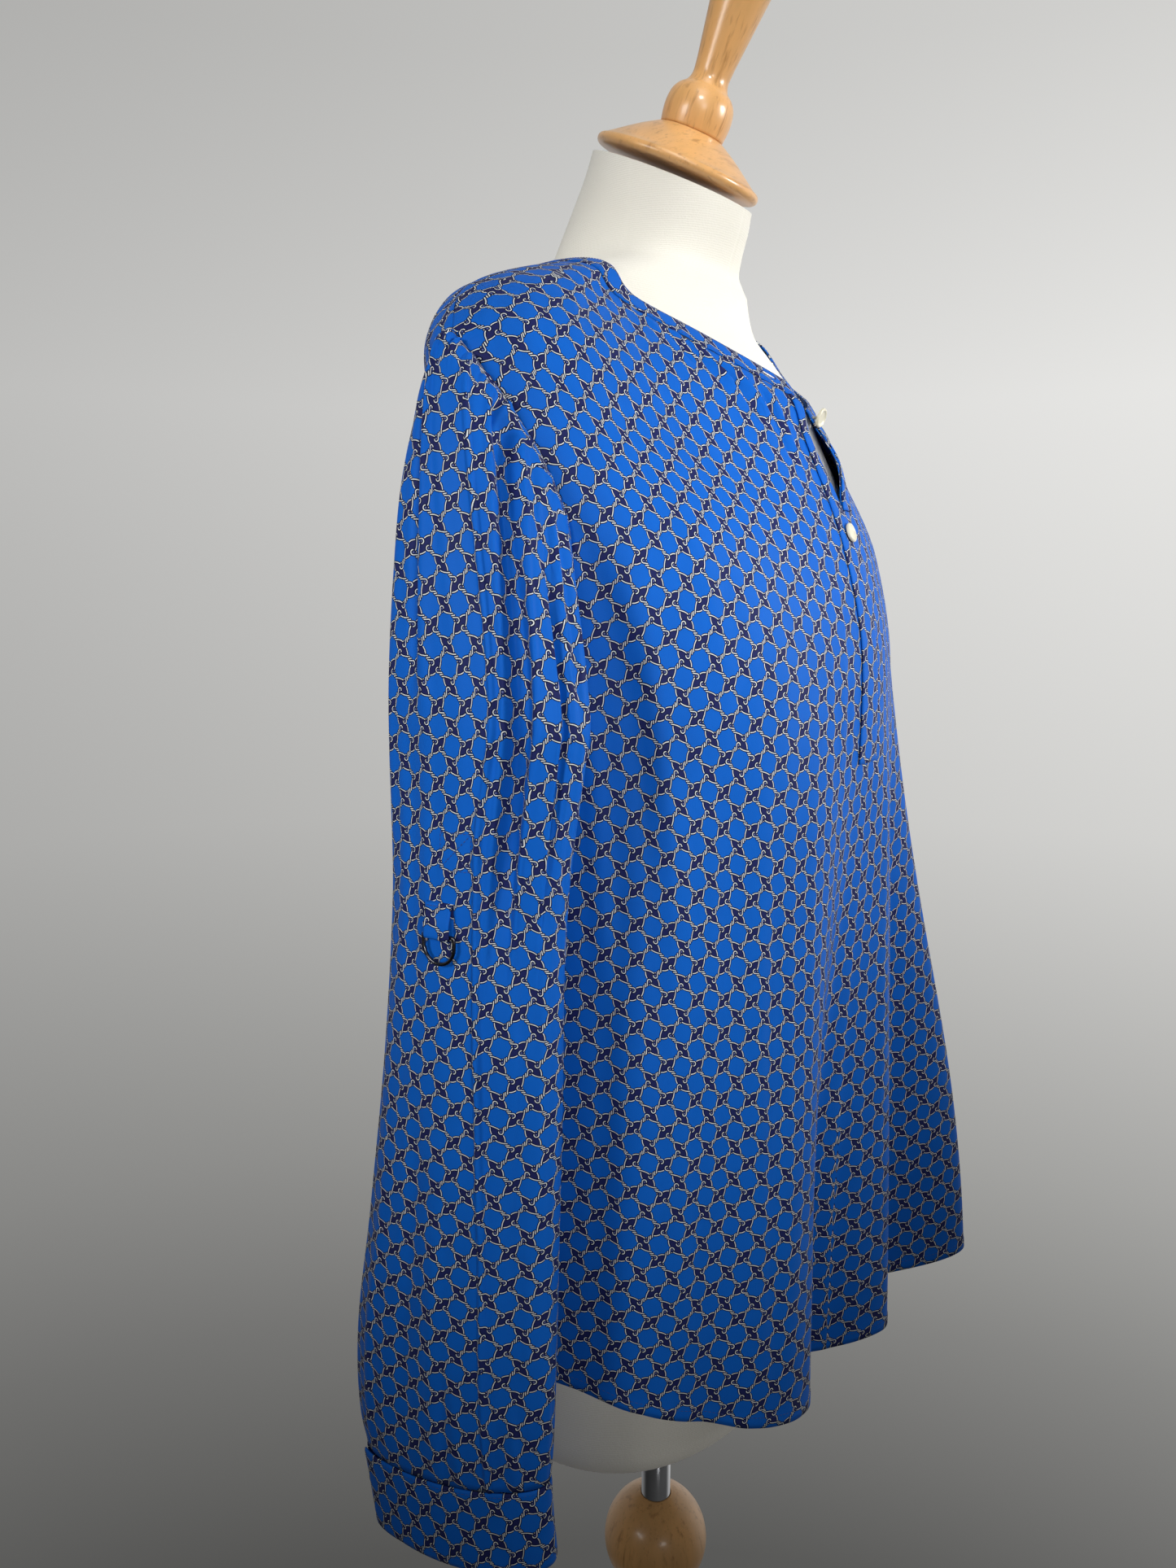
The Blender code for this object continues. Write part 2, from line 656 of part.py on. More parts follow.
def armhole_ring(side, columns):
    """Armhole edge of the sleeve, just outside the panels' edges."""
    ring = []
    for turn in columns:
        share = 0.5 - 0.5 * math.cos(math.radians(turn))
        drop = SHOULDER_TIP_DROP + (UNDERARM_DROP - SHOULDER_TIP_DROP) * share
        which = "front" if turn <= 180.0 else "back"
        angle = along(ARMHOLE_COLUMNS, ARMHOLE, which, drop)
        p = cloth_point(side * angle, drop)
        centre = Vector((side * 0.150, 0.0, p.z))
        away = (p - centre).normalized() * 0.0006 + Vector((side * 0.0006, 0.0, 0.0))
        ring.append(p + away)
    return ring


def cap_rows(side, columns, steps):
    """Sleeve cap: lofted from the armhole to the first level section."""
    start = armhole_ring(side, columns)
    end = sleeve_ring(side, SLEEVE_TOP_DROP, columns)
    rows = []
    for t in steps:
        row = []
        for turn, a, b in zip(columns, start, end):
            c = math.cos(math.radians(turn))
            s = math.sin(math.radians(turn))
            leave = Vector((side * (0.062 + 0.034 * c), -0.034 * s, 0.012 * c - 0.030 * (1.0 - c)))
            leave *= 0.35 + 0.65 * (0.5 + 0.5 * c)
            arrive = Vector((0.0, 0.0, -0.13 * (0.55 + 0.45 * c)))
            h0 = 2 * t ** 3 - 3 * t ** 2 + 1
            h1 = t ** 3 - 2 * t ** 2 + t
            h2 = 3 * t ** 2 - 2 * t ** 3
            h3 = t ** 3 - t ** 2
            row.append(a * h0 + leave * h1 + b * h2 + arrive * h3)
        rows.append(row)
    return rows


def build_sleeve(group, material, side, label):
    """Long sleeve with its cap, from the armhole to the cuff."""
    columns = [360.0 * j / 20 for j in range(20)]
    rows = cap_rows(side, columns, spaced(0.0, 1.0, 7))
    for drop in spaced(SLEEVE_TOP_DROP, CUFF_SEAM_DROP - 0.0004, 9)[1:]:
        rows.append(sleeve_ring(side, drop, columns))
    return shell(group, "sleeve_" + label, rows, material, closed=True, flip=side > 0)


def build_cuff(group, material, side, label):
    """Cuff: a strip round the wrist whose ends do not quite meet."""
    turns = spaced(-62.0, 290.0, 28)
    rows = []
    for drop in spaced(CUFF_SEAM_DROP + 0.0004, CUFF_HEM_DROP, 2):
        ring = []
        for turn in turns:
            spread = 0.0024 * max(0.0, 1.0 - (turn + 62.0) / 30.0)
            ring.append(sleeve_ring(side, drop, [turn], 0.0004 + spread)[0])
        rows.append(ring)
    return shell(group, "cuff_" + label, rows, material, 0.0016, flip=side > 0)


def sleeve_surface(side, turn, drop, out):
    """Point outside the sleeve's wall and the outward direction there."""
    p = sleeve_ring(side, drop, [turn])[0]
    names = ("deep", "wide")
    deep, wide = [along(SLEEVE_COLUMNS, SLEEVES, c, drop) for c in names]
    a = math.radians(turn)
    normal = Vector((side * math.cos(a) / deep, -math.sin(a) / wide, 0.0)).normalized()
    return p + normal * out, normal


def tab_frame(side):
    """Frame on the sleeve's outer face at the ring's bar: X out, Y along the bar."""
    p, normal = sleeve_surface(side, -4.0, RING_BAR_DROP, CLOTH + 0.0020)
    z = Vector((0.0, 0.0, 1.0))
    y = z.cross(normal).normalized()
    frame = Matrix((normal, y, z)).transposed().to_4x4()
    frame.translation = p
    return frame


def build_tab(group, material, side, label):
    """Cloth tab folded round the ring's bar and stitched to the sleeve."""
    frame = tab_frame(side)
    inner = RING_WIRE / 2.0 + 0.0007
    rise = RING_BAR_DROP - TAB_TOP_DROP
    path = [(-inner, rise), (-inner, rise * 0.5)]
    path += [(inner * math.cos(math.radians(a)), inner * math.sin(math.radians(a)))
             for a in (180.0, 210.0, 240.0, 270.0, 300.0, 330.0, 360.0)]
    path += [(inner * 0.9, rise * 0.35), (-0.0002, rise * 0.75), (-0.0004, rise)]
    rows = []
    for x, z in path:
        rows.append([frame @ Vector((x, TAB_WIDTH * s, z)) for s in (-0.5, -0.25, 0.0, 0.25, 0.5)])
    return shell(group, "tab_" + label, rows, material, 0.0009, flip=False)


def build_ring(group, material, side, label):
    """Round-wire D ring hanging from its bar in the tab."""
    frame = tab_frame(side)
    radius = RING_WIDTH / 2.0 - RING_WIRE / 2.0
    points = [(-radius + 0.0004, 0.0), (radius - 0.0004, 0.0), (radius, -0.0006), (radius, -0.0030)]
    for i in range(1, 12):
        a = math.radians(-180.0 * i / 12)
        points.append((radius * math.cos(a), -0.0048 + radius * math.sin(a) * 1.02))
    points += [(-radius, -0.0030), (-radius, -0.0006)]
    curve = bpy.data.curves.new("d_ring_" + label, "CURVE")
    curve.dimensions = "3D"
    curve.bevel_depth = RING_WIRE / 2.0
    curve.bevel_resolution = 2
    line = curve.splines.new("POLY")
    line.points.add(len(points) - 1)
    for point, (y, z) in zip(line.points, points):
        point.co = (0.0, y, z, 1.0)
    line.use_cyclic_u = True
    line.use_smooth = True
    item = bpy.data.objects.new("d_ring_" + label, curve)
    group.objects.link(item)
    curve.materials.append(material)
    item.matrix_world = frame
    return item


def button_profile(radius):
    """Turned button with a raised rim."""
    profile = [(0.0, 0.0016), (radius * 0.62, 0.0016), (radius * 0.72, 0.0022)]
    profile += [(radius * 0.90, 0.0023), (radius, 0.0015), (radius * 0.96, 0.0007)]
    profile += [(radius * 0.70, 0.0), (0.0, 0.0)]
    return profile


def button_place(point, normal):
    """Frame that lays a button's back on a point of the cloth."""
    turn = normal.to_track_quat("Z", "Y").to_matrix().to_4x4()
    return Matrix.Translation(point) @ turn


def cloth_normal(angle, drop):
    """Outward normal of the cloth."""
    return (cloth_point(angle, drop, 0.01) - cloth_point(angle, drop, 0.0)).normalized()


def build_buttons(group, material):
    """Neck and placket buttons, and one on each cuff."""
    angle = angle_at(0.0125, 0.070)
    high = cloth_point(angle, neck_drop(angle), 0.0004)
    low = cloth_point(angle, band_seam_drop(angle), 0.0004)
    droop = Vector((0.0, -math.cos(BUTTON_DROOP), -math.sin(BUTTON_DROOP)))
    place = button_place(0.5 * (high + low) - Vector((0.0, BUTTON_SHANK, 0.0)), droop)
    turned(group, "button_neck", button_profile(BUTTON_RADIUS), material, 16, place)
    drop = OPENING_END_DROP + 0.010
    angle = angle_at(-0.0035, drop)
    place = button_place(cloth_point(angle, drop, CLOTH + SEAM_GAP + 0.0004), cloth_normal(angle, drop))
    turned(group, "button_placket", button_profile(BUTTON_RADIUS), material, 16, place)
    for side, label in ((-1.0, "right"), (1.0, "left")):
        drop = 0.5 * (CUFF_SEAM_DROP + CUFF_HEM_DROP)
        p, normal = sleeve_surface(side, -86.0, drop, 0.0012)
        place = button_place(p, normal)
        turned(group, "button_cuff_" + label, button_profile(0.0050), material, 16, place)


def main():
    """Build every piece of the blouse, its dress form and the stand."""
    reset_scene()
    group = make_collection(COLLECTION)
    wood = make_material("beech", (0.60, 0.36, 0.17), 0.35)
    chrome = make_material("chrome", (0.75, 0.76, 0.78), 0.12, 1.0)
    jersey = make_material("cream_jersey", (0.86, 0.83, 0.76), 0.9)
    build_form(group, jersey)
    build_stand(group, wood, chrome)
    silk = (0.03, 0.13, 0.52)
    build_front(group, make_material("front_silk", silk, 0.5))
    build_back(group, make_material("back_silk", silk, 0.5))
    build_neckband(group, make_material("neckband_silk", silk, 0.5))
    build_plackets(group, make_material("placket_silk", silk, 0.5))
    for side, label in ((-1.0, "right"), (1.0, "left")):
        build_sleeve(group, make_material("sleeve_silk_" + label, silk, 0.5), side, label)
        build_cuff(group, make_material("cuff_silk_" + label, silk, 0.5), side, label)
        build_tab(group, make_material("tab_silk_" + label, silk, 0.5), side, label)
        ring = make_material("gunmetal_" + label, (0.12, 0.12, 0.13), 0.3, 1.0)
        build_ring(group, ring, side, label)
    build_buttons(group, make_material("cream_shell", (0.85, 0.80, 0.66), 0.3))


main()
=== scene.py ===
"""Looks of a printed silk blouse worn by a padded dress form on a turned stand.

Metres, +Z up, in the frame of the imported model. The front faces -Y and the
wearer's right is -X. Heights on the body are given as a drop below the point
where the side of the neck meets the shoulder.
"""
import math

import bmesh
import bpy
import numpy as np
from mathutils import Matrix, Vector


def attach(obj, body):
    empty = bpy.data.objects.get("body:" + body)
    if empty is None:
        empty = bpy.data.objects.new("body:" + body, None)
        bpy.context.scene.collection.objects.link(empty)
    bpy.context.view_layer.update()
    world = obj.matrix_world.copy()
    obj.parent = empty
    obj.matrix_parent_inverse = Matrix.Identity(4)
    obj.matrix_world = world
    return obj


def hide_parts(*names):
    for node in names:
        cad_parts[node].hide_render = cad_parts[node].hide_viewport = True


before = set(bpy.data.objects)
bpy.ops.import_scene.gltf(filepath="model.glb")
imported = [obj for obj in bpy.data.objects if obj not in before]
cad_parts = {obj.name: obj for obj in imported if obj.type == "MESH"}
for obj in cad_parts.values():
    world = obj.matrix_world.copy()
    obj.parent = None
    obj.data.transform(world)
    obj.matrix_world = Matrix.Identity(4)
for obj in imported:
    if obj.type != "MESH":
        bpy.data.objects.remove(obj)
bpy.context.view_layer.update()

GARMENT = "garment_and_form"
RIGHT, LEFT = -1.0, 1.0
MM = 0.001
UPRIGHT = (0.0, 0.0, 1.0)

# ---------------------------------------------------------------- sizes
NECK_POINT_Z = 1.420
CLOTH = 0.0012
LAYER = 0.0005
SEAM_GAP = 0.0003
PLACKET_END_DROP = 0.285
OPENING_END_DROP = 0.143
PLACKET_NEAR = 0.0165
PLACKET_FAR = 0.0095
SEAM_ANGLE = 93.0
HOLLOW_DEPTH = 0.0145
HOLLOW_ANGLE = 35.0
LEFT_SLIP = 0.020
NECK_SEAM_ANGLE = 104.0
SHOULDER_TIP_DROP = 0.062
UNDERARM_DROP = 0.213
SLEEVE_TOP_DROP = 0.250
CUFF_SEAM_DROP = 0.666
CUFF_HEM_DROP = 0.713
HEM_FRONT_DROP = 0.673
HEM_BACK_DROP = 0.695
HEM_SIDE_DROP = 0.626
TAB_TOP_DROP = 0.336
RING_BAR_DROP = 0.3525
RING_WIDTH = 0.0212
RING_WIRE = 0.0019
TAB_WIDTH = 0.0160
CUFF_HOLE_TURN = 283.0
BAND_HOLE_TURN = 8.0
BUTTON_RADIUS = 0.0058
BUTTON_SHANK = 0.0055
BUTTON_DROOP = math.radians(20.0)
CUFF_BUTTON_RADIUS = 0.0050
CAP_TILT = math.radians(24.0)
CAP_Z = NECK_POINT_Z + 0.061
CAP_Y = -0.004
POLE_RADIUS = 0.0104
BALL_Z = 0.553
BALL_RADIUS = 0.037
BASE_RADIUS = 0.185
HALF_REPEAT = 0.00925
BODY_METRES_PER_DEGREE = 0.0028
SLEEVE_METRES_PER_DEGREE = math.radians(0.5 * (0.0245 + 0.055))
CORNER_ANGLE = math.radians(50.0)
PRINT_SHIFT = (5.0, 0.0)
BAND_THICK = 0.0007
STRIP_THICK = 0.0006
CUFF_THICK = 0.0009
STITCH_LENGTH = 0.0019
STITCH_RADIUS = 0.00017
SHANK_STRAND = 0.00032
EDGE_ROLL = 0.0004

# Finishes, as linear red, green and blue.
CELL_DEEP = (0.0046, 0.104, 0.490)
CELL_CLEAR = (0.0060, 0.126, 0.580)
LINK_TINT = (0.0150, 0.0200, 0.1000)
OUTLINE_TINT = (0.0035, 0.0065, 0.0300)
BEAD_TINT = (0.1000, 0.1300, 0.3000)
ROPE_TINT = (0.68, 0.71, 0.71)
JERSEY_SOILED = (0.80, 0.765, 0.665)
JERSEY_CLEAN = (0.88, 0.855, 0.77)
BEECH_TINT = (0.690, 0.375, 0.140)
GUNMETAL_TINT = (0.10, 0.10, 0.11)
CHROME_TINT = (0.62, 0.63, 0.66)
SHELL_TINT = (0.74, 0.70, 0.55)
NAVY_THREAD_TINT = (0.030, 0.060, 0.230)
CREAM_THREAD_TINT = (0.66, 0.62, 0.48)
SLOT_TINT = (0.80, 0.78, 0.70)
FLOOR_TINT = (0.50, 0.50, 0.48)

# Body sections by drop below the neck point: the form's half width, front and
# back depth, the cloth's half width, front and back depth, the squareness, and
# how far behind the pole the widest point lies.
FORM_COLUMNS = (1, 2, 3, 7, 8)
CLOTH_COLUMNS = (4, 5, 6, 7, 8)
SECTIONS = np.array((
    (0.000, 0.0700, 0.0430, 0.0800, 0.0722, 0.0450, 0.0820, 2.00, 0.020),
    (0.010, 0.1000, 0.0430, 0.0830, 0.1036, 0.0452, 0.0852, 2.00, 0.020),
    (0.020, 0.1320, 0.0450, 0.0860, 0.1362, 0.0474, 0.0885, 2.00, 0.020),
    (0.031, 0.1578, 0.0490, 0.0900, 0.1635, 0.0515, 0.0925, 2.00, 0.019),
    (0.045, 0.1760, 0.0590, 0.0940, 0.1830, 0.0614, 0.0965, 2.00, 0.016),
    (0.062, 0.1840, 0.0720, 0.0970, 0.1965, 0.0748, 0.0994, 1.95, 0.012),
    (0.080, 0.1850, 0.0850, 0.0985, 0.1990, 0.0879, 0.1012, 1.88, 0.008),
    (0.110, 0.1820, 0.0990, 0.1015, 0.1970, 0.1018, 0.1045, 1.84, 0.003),
    (0.160, 0.1700, 0.1180, 0.1030, 0.1870, 0.1208, 0.1080, 1.96, 0.000),
    (0.210, 0.1580, 0.1290, 0.1010, 0.1765, 0.1330, 0.1080, 2.08, 0.000),
    (0.260, 0.1490, 0.1310, 0.0950, 0.1730, 0.1370, 0.1080, 2.15, 0.000),
    (0.330, 0.1350, 0.1120, 0.0860, 0.1730, 0.1390, 0.1120, 2.20, 0.000),
    (0.410, 0.1230, 0.0920, 0.0800, 0.1740, 0.1400, 0.1200, 2.25, 0.000),
    (0.500, 0.1380, 0.0960, 0.0960, 0.1750, 0.1410, 0.1300, 2.30, 0.000),
    (0.600, 0.1570, 0.1020, 0.1080, 0.1760, 0.1420, 0.1420, 2.30, 0.000),
    (0.680, 0.1550, 0.1000, 0.1050, 0.1770, 0.1430, 0.1520, 2.30, 0.000),
    (0.720, 0.1490, 0.0970, 0.1010, 0.1775, 0.1435, 0.1560, 2.30, 0.000),
))

# The neck of the form above the neck point: height, half width, front and back
# depth, and the forward slope of the section's plane.
NECK = (
    (0.0580, 0.0475, 0.0500, 0.0460, 0.445),
    (0.0440, 0.0480, 0.0475, 0.0520, 0.400),
    (0.0260, 0.0490, 0.0430, 0.0620, 0.330),
    (0.0120, 0.0530, 0.0405, 0.0710, 0.220),
    (0.0030, 0.0610, 0.0410, 0.0770, 0.100),
)

# Flutes of the skirt: angle from centre front (plus is the wearer's left), half
# angle, and how far the hem stands out of its plain curve there.
FLUTES = (
    (-80.0, 9.0, -0.004),
    (-46.0, 9.0, -0.006),
    (-27.0, 6.0, 0.000),
    (-6.0, 8.0, -0.032),
    (11.0, 5.5, 0.008),
    (23.0, 5.0, -0.030),
    (35.0, 7.0, 0.062),
    (52.0, 8.0, -0.018),
    (72.0, 8.0, 0.006),
    (112.0, 8.0, -0.014),
    (131.0, 8.0, 0.028),
    (150.0, 8.0, -0.020),
    (172.0, 9.0, 0.022),
    (-168.0, 8.0, -0.018),
    (-147.0, 8.0, 0.026),
    (-126.0, 8.0, -0.014),
    (-106.0, 8.0, 0.010),
)

# Armhole edge of the panels: drop, angle on the front, angle on the back.
ARMHOLE = np.array((
    (0.062, 92.7, 93.3),
    (0.074, 86.0, 97.5),
    (0.092, 79.0, 103.0),
    (0.130, 72.0, 109.0),
    (0.165, 72.0, 108.0),
    (0.193, 79.0, 101.0),
    (0.207, 87.0, 96.0),
    (0.213, 93.0, 93.0),
))

# Sleeve sections by drop: centre x and y, half depth across, half width front to
# back, and how much lower the back of the section hangs than its front.
SLEEVES = np.array((
    (0.250, 0.2100, -0.010, 0.0265, 0.0560, 0.00),
    (0.330, 0.2085, -0.003, 0.0250, 0.0510, 0.00),
    (0.420, 0.2080, 0.004, 0.0245, 0.0530, 0.02),
    (0.520, 0.2080, 0.013, 0.0245, 0.0590, 0.06),
    (0.600, 0.2085, 0.020, 0.0250, 0.0645, 0.12),
    (0.650, 0.2085, 0.021, 0.0235, 0.0635, 0.15),
    (0.666, 0.2085, 0.020, 0.0215, 0.0610, 0.16),
    (0.714, 0.2085, 0.014, 0.0210, 0.0585, 0.16),
))

# Steps that relax the flat cut, and the share of a panel's half width that parts
# the front's two sides.
FLATTEN_STEPS = 1400
SPLIT_SHARE = 0.001

# Creases placed one by one. Each runs from one place to another and is given as
# start angle and drop, end angle and drop, half width and height in millimetres
# (a minus is a trough).
BODY_CREASES = (
    (-27.6, 0.048, -24.8, 0.066, 1.5, -1.6),
    (-25.8, 0.046, -23.2, 0.064, 1.4, 1.7),
    (-23.8, 0.050, -20.6, 0.078, 1.8, -2.3),
    (-21.6, 0.050, -18.6, 0.078, 1.5, 2.2),
    (-18.8, 0.060, -16.4, 0.096, 2.2, -2.8),
    (-16.2, 0.060, -14.2, 0.094, 1.6, 2.5),
    (-12.6, 0.072, -12.8, 0.116, 1.6, -2.0),
    (-10.8, 0.072, -11.0, 0.118, 1.5, 1.9),
    (-33.5, 0.038, -30.8, 0.050, 1.5, -1.2),
    (-31.8, 0.038, -29.2, 0.050, 1.4, 1.2),
    (29.0, 0.046, 26.0, 0.066, 1.7, -1.7),
    (26.8, 0.046, 24.0, 0.066, 1.5, 1.7),
    (23.0, 0.052, 20.0, 0.080, 1.8, -2.2),
    (20.6, 0.052, 17.8, 0.080, 1.6, 2.1),
    (16.8, 0.064, 15.6, 0.100, 1.8, -2.2),
    (14.4, 0.064, 13.4, 0.100, 1.6, 2.0),
    (-68.0, 0.150, -60.0, 0.340, 9.0, -1.6),
    (-62.0, 0.180, -52.0, 0.420, 11.0, 1.5),
    (-75.0, 0.200, -70.0, 0.420, 6.0, 1.6),
    (-44.0, 0.280, -39.0, 0.600, 10.0, -1.6),
    (-56.0, 0.300, -55.0, 0.620, 9.0, 1.8),
    (-33.0, 0.360, -30.0, 0.660, 7.0, -1.8),
    (-70.0, 0.380, -72.0, 0.620, 8.0, -1.8),
    (-84.0, 0.230, -86.0, 0.560, 6.0, 1.8),
    (-9.0, 0.150, -9.5, 0.285, 2.2, -1.0),
    (-11.5, 0.150, -12.5, 0.300, 2.6, 0.9),
    (66.0, 0.160, 59.0, 0.350, 9.0, -1.7),
    (58.0, 0.200, 48.0, 0.430, 10.0, 1.6),
    (74.0, 0.210, 70.0, 0.440, 6.0, 1.6),
    (84.0, 0.240, 86.0, 0.540, 6.0, 1.8),
    (80.0, 0.360, 82.0, 0.600, 8.0, -1.8),
    (9.0, 0.290, 8.0, 0.520, 5.0, 1.4),
    (104.0, 0.070, 112.0, 0.260, 7.0, 1.8),
    (112.0, 0.090, 122.0, 0.330, 8.0, -1.7),
    (100.0, 0.240, 101.0, 0.560, 7.0, -1.8),
    (-104.0, 0.070, -112.0, 0.270, 7.0, 1.8),
    (-113.0, 0.100, -124.0, 0.350, 8.0, -1.7),
    (-99.0, 0.240, -100.0, 0.580, 7.0, -1.9),
    (140.0, 0.210, 143.0, 0.620, 9.0, 1.7),
    (-138.0, 0.180, -141.0, 0.600, 9.0, 1.6),
    (162.0, 0.160, 160.0, 0.560, 10.0, -1.7),
    (-157.0, 0.240, -156.0, 0.640, 9.0, -1.7),
    (179.0, 0.030, 179.0, 0.300, 5.0, 1.1),
)

# Pleats that fall from the cap: half width, depth and height of the edges in
# millimetres, length of the fade at each end, and the places as drop and turn.
RIGHT_SLEEVE_PLEATS = (
    (5.2, 8.5, 1.5, (0.030, 0.120),
     ((0.068, 59.5), (0.137, 52.0), (0.175, 45.0), (0.240, 37.5), (0.400, 32.0))),
    (3.0, 3.2, 0.8, (0.020, 0.150), ((0.110, 80.0), (0.200, 70.0), (0.420, 64.0))),
)
LEFT_SLEEVE_PLEATS = (
    (4.8, 7.5, 1.4, (0.030, 0.120), ((0.068, 57.0), (0.140, 50.0), (0.190, 42.0), (0.380, 34.0))),
    (3.2, 3.0, 0.8, (0.020, 0.150), ((0.100, 82.0), (0.210, 71.0), (0.400, 66.0))),
)

# The sleeves' other creases, given like the body's with turns round the arm.
RIGHT_SLEEVE_CREASES = (
    (72.0, 0.080, 66.0, 0.300, 2.6, -2.6),
    (90.0, 0.100, 84.0, 0.240, 3.0, -2.4),
    (-12.0, 0.070, -30.0, 0.230, 3.0, -3.2),
    (-4.0, 0.070, -20.0, 0.240, 3.4, 2.0),
    (34.0, 0.080, 17.0, 0.310, 1.1, 2.6),
    (17.0, 0.290, 22.0, 0.430, 1.1, 3.0),
    (22.0, 0.410, 28.0, 0.515, 1.1, 3.0),
    (28.0, 0.490, 38.0, 0.700, 1.2, 3.0),
    (-44.0, 0.120, -58.0, 0.330, 5.0, 2.4),
    (30.0, 0.240, 52.0, 0.400, 7.0, -1.7),
    (66.0, 0.300, 72.0, 0.540, 7.0, 2.0),
    (-30.0, 0.260, -24.0, 0.420, 5.0, -1.6),
    (48.0, 0.440, 58.0, 0.660, 6.0, -2.0),
    (-16.0, 0.460, -12.0, 0.655, 5.0, -2.0),
    (2.0, 0.520, 6.0, 0.665, 3.4, 1.6),
    (10.0, 0.600, 11.0, 0.668, 2.2, -1.4),
    (18.0, 0.610, 19.0, 0.668, 2.0, 1.2),
    (44.0, 0.625, 45.0, 0.668, 2.2, -1.3),
    (52.0, 0.620, 54.0, 0.668, 2.2, 1.3),
    (62.0, 0.630, 62.0, 0.668, 2.2, -1.3),
    (-40.0, 0.480, -46.0, 0.668, 4.0, 1.8),
    (120.0, 0.180, 110.0, 0.420, 6.0, -2.4),
    (150.0, 0.260, 146.0, 0.560, 7.0, 2.4),
    (-120.0, 0.180, -112.0, 0.460, 6.0, -2.6),
    (-150.0, 0.240, -144.0, 0.600, 7.0, 2.4),
    (-84.0, 0.140, -92.0, 0.400, 5.0, -2.4),
    (176.0, 0.220, 178.0, 0.660, 4.0, -1.6),
)
LEFT_SLEEVE_CREASES = (
    (84.0, 0.090, 78.0, 0.280, 3.2, -2.8),
    (-20.0, 0.070, -36.0, 0.240, 3.2, -3.4),
    (-8.0, 0.070, -24.0, 0.250, 3.6, 2.2),
    (30.0, 0.080, 14.0, 0.300, 1.1, 2.4),
    (14.0, 0.280, 21.0, 0.440, 1.1, 2.8),
    (21.0, 0.415, 30.0, 0.700, 1.1, 2.8),
    (-50.0, 0.130, -60.0, 0.350, 5.0, 2.2),
    (34.0, 0.250, 50.0, 0.430, 7.0, -1.9),
    (68.0, 0.310, 74.0, 0.560, 7.0, 2.1),
    (-28.0, 0.270, -22.0, 0.440, 5.0, -1.7),
    (46.0, 0.450, 56.0, 0.660, 6.0, -1.9),
    (-18.0, 0.470, -12.0, 0.655, 5.0, -1.8),
    (8.0, 0.600, 9.0, 0.668, 2.2, -1.4),
    (16.0, 0.610, 17.0, 0.668, 2.0, 1.3),
    (42.0, 0.620, 44.0, 0.668, 2.2, -1.3),
    (54.0, 0.625, 55.0, 0.668, 2.2, 1.2),
    (-42.0, 0.490, -48.0, 0.668, 4.0, 1.8),
    (118.0, 0.190, 108.0, 0.430, 6.0, -2.5),
    (152.0, 0.250, 148.0, 0.570, 7.0, 2.2),
    (-122.0, 0.170, -114.0, 0.450, 6.0, -2.6),
    (-148.0, 0.240, -143.0, 0.610, 7.0, 2.4),
    (-86.0, 0.150, -94.0, 0.410, 5.0, -2.2),
)

# The print, charted on half a repeat: strokes of the rope trellis in one
# quarter of a blue cell, as start x, y and end x, y. The other quarters are the
# same strokes turned by a quarter.
ROPES = (
    (0.315, 0.805, 0.325, 0.545),
    (0.412, 0.480, 0.436, 0.680),
    (0.529, 0.560, 0.532, 0.395),
    (0.532, 0.395, 0.565, 0.190),
    (0.565, 0.190, 0.612, 0.035),
    (0.612, 0.035, 0.668, -0.078),
    (0.640, 0.448, 0.800, 0.425),
    (0.800, 0.425, 0.935, 0.370),
    (0.935, 0.370, 1.020, 0.320),
    (-0.190, 0.565, -0.035, 0.612),
    (-0.035, 0.612, 0.078, 0.668),
    (1.055, 0.120, 1.055, 0.260),
    (0.178, 0.626, 0.182, 0.630),
    (0.800, -0.052, 0.812, -0.050),
)
HOOK_CENTRE = (0.188, 0.810)
HOOK_RADIUS = 0.130
ROPE_HALF_WIDTH = 0.023
OUTLINE_HALF_WIDTH = 0.072
LINK_SIDES = ((0.969, 0.247, 0.350), (0.179, 0.984, 0.350))

# The camera at the photograph's place.
CAMERA_PLACE = (-0.6803, -0.3478, 1.2363)
CAMERA_TURN = 30.78
CAMERA_DIP = 9.42
CAMERA_LENS = 27.07
SENSOR_HEIGHT = 36.0

# Surroundings: brightness by sine of elevation, how much is left behind the
# camera, and the lights as name, place, target, size, spread and power.
WALL_LEVELS = ((-1.0, 0.05), (-0.673, 0.095), (-0.546, 0.200), (-0.44, 0.31), (-0.189, 0.53),
               (0.144, 0.66), (0.383, 0.54), (1.0, 0.42))
ROOM_BEHIND = 0.10
FLOOR_RADIUS = 0.50
LIGHTS = (
    ("key", (0.60, -1.60, 1.55), (0.0, 0.0, 1.30), 0.5, 31.0, 1.10),
    ("left", (-1.50, 0.35, 1.62), (-0.2, 0.0, 1.25), 0.5, 40.0, 0.75),
    ("camera_side", (-1.30, -1.25, 1.45), (-0.15, 0.0, 1.13), 0.5, 28.0, 0.55),
    ("top", (-0.45, -0.45, 2.30), (0.0, 0.0, 1.45), 0.6, 44.0, 0.24),
    ("overhead", (-0.25, -0.25, 2.35), (0.0, 0.0, 1.40), 0.8, 180.0, 0.45),
    ("cap", (-0.75, -0.55, 1.95), (0.0, -0.02, 1.55), 0.2, 17.0, 0.07),
    ("slit", (-0.95, -0.62, 1.33), (0.0, -0.10, 1.30), 0.15, 16.0, 0.04),
)


# ---------------------------------------------------------------- shapes
def smooth(low, high, value):
    """Soft step from 0 at low to 1 at high."""
    t = np.clip((value - low) / (high - low), 0.0, 1.0)
    return t * t * (3.0 - 2.0 * t)


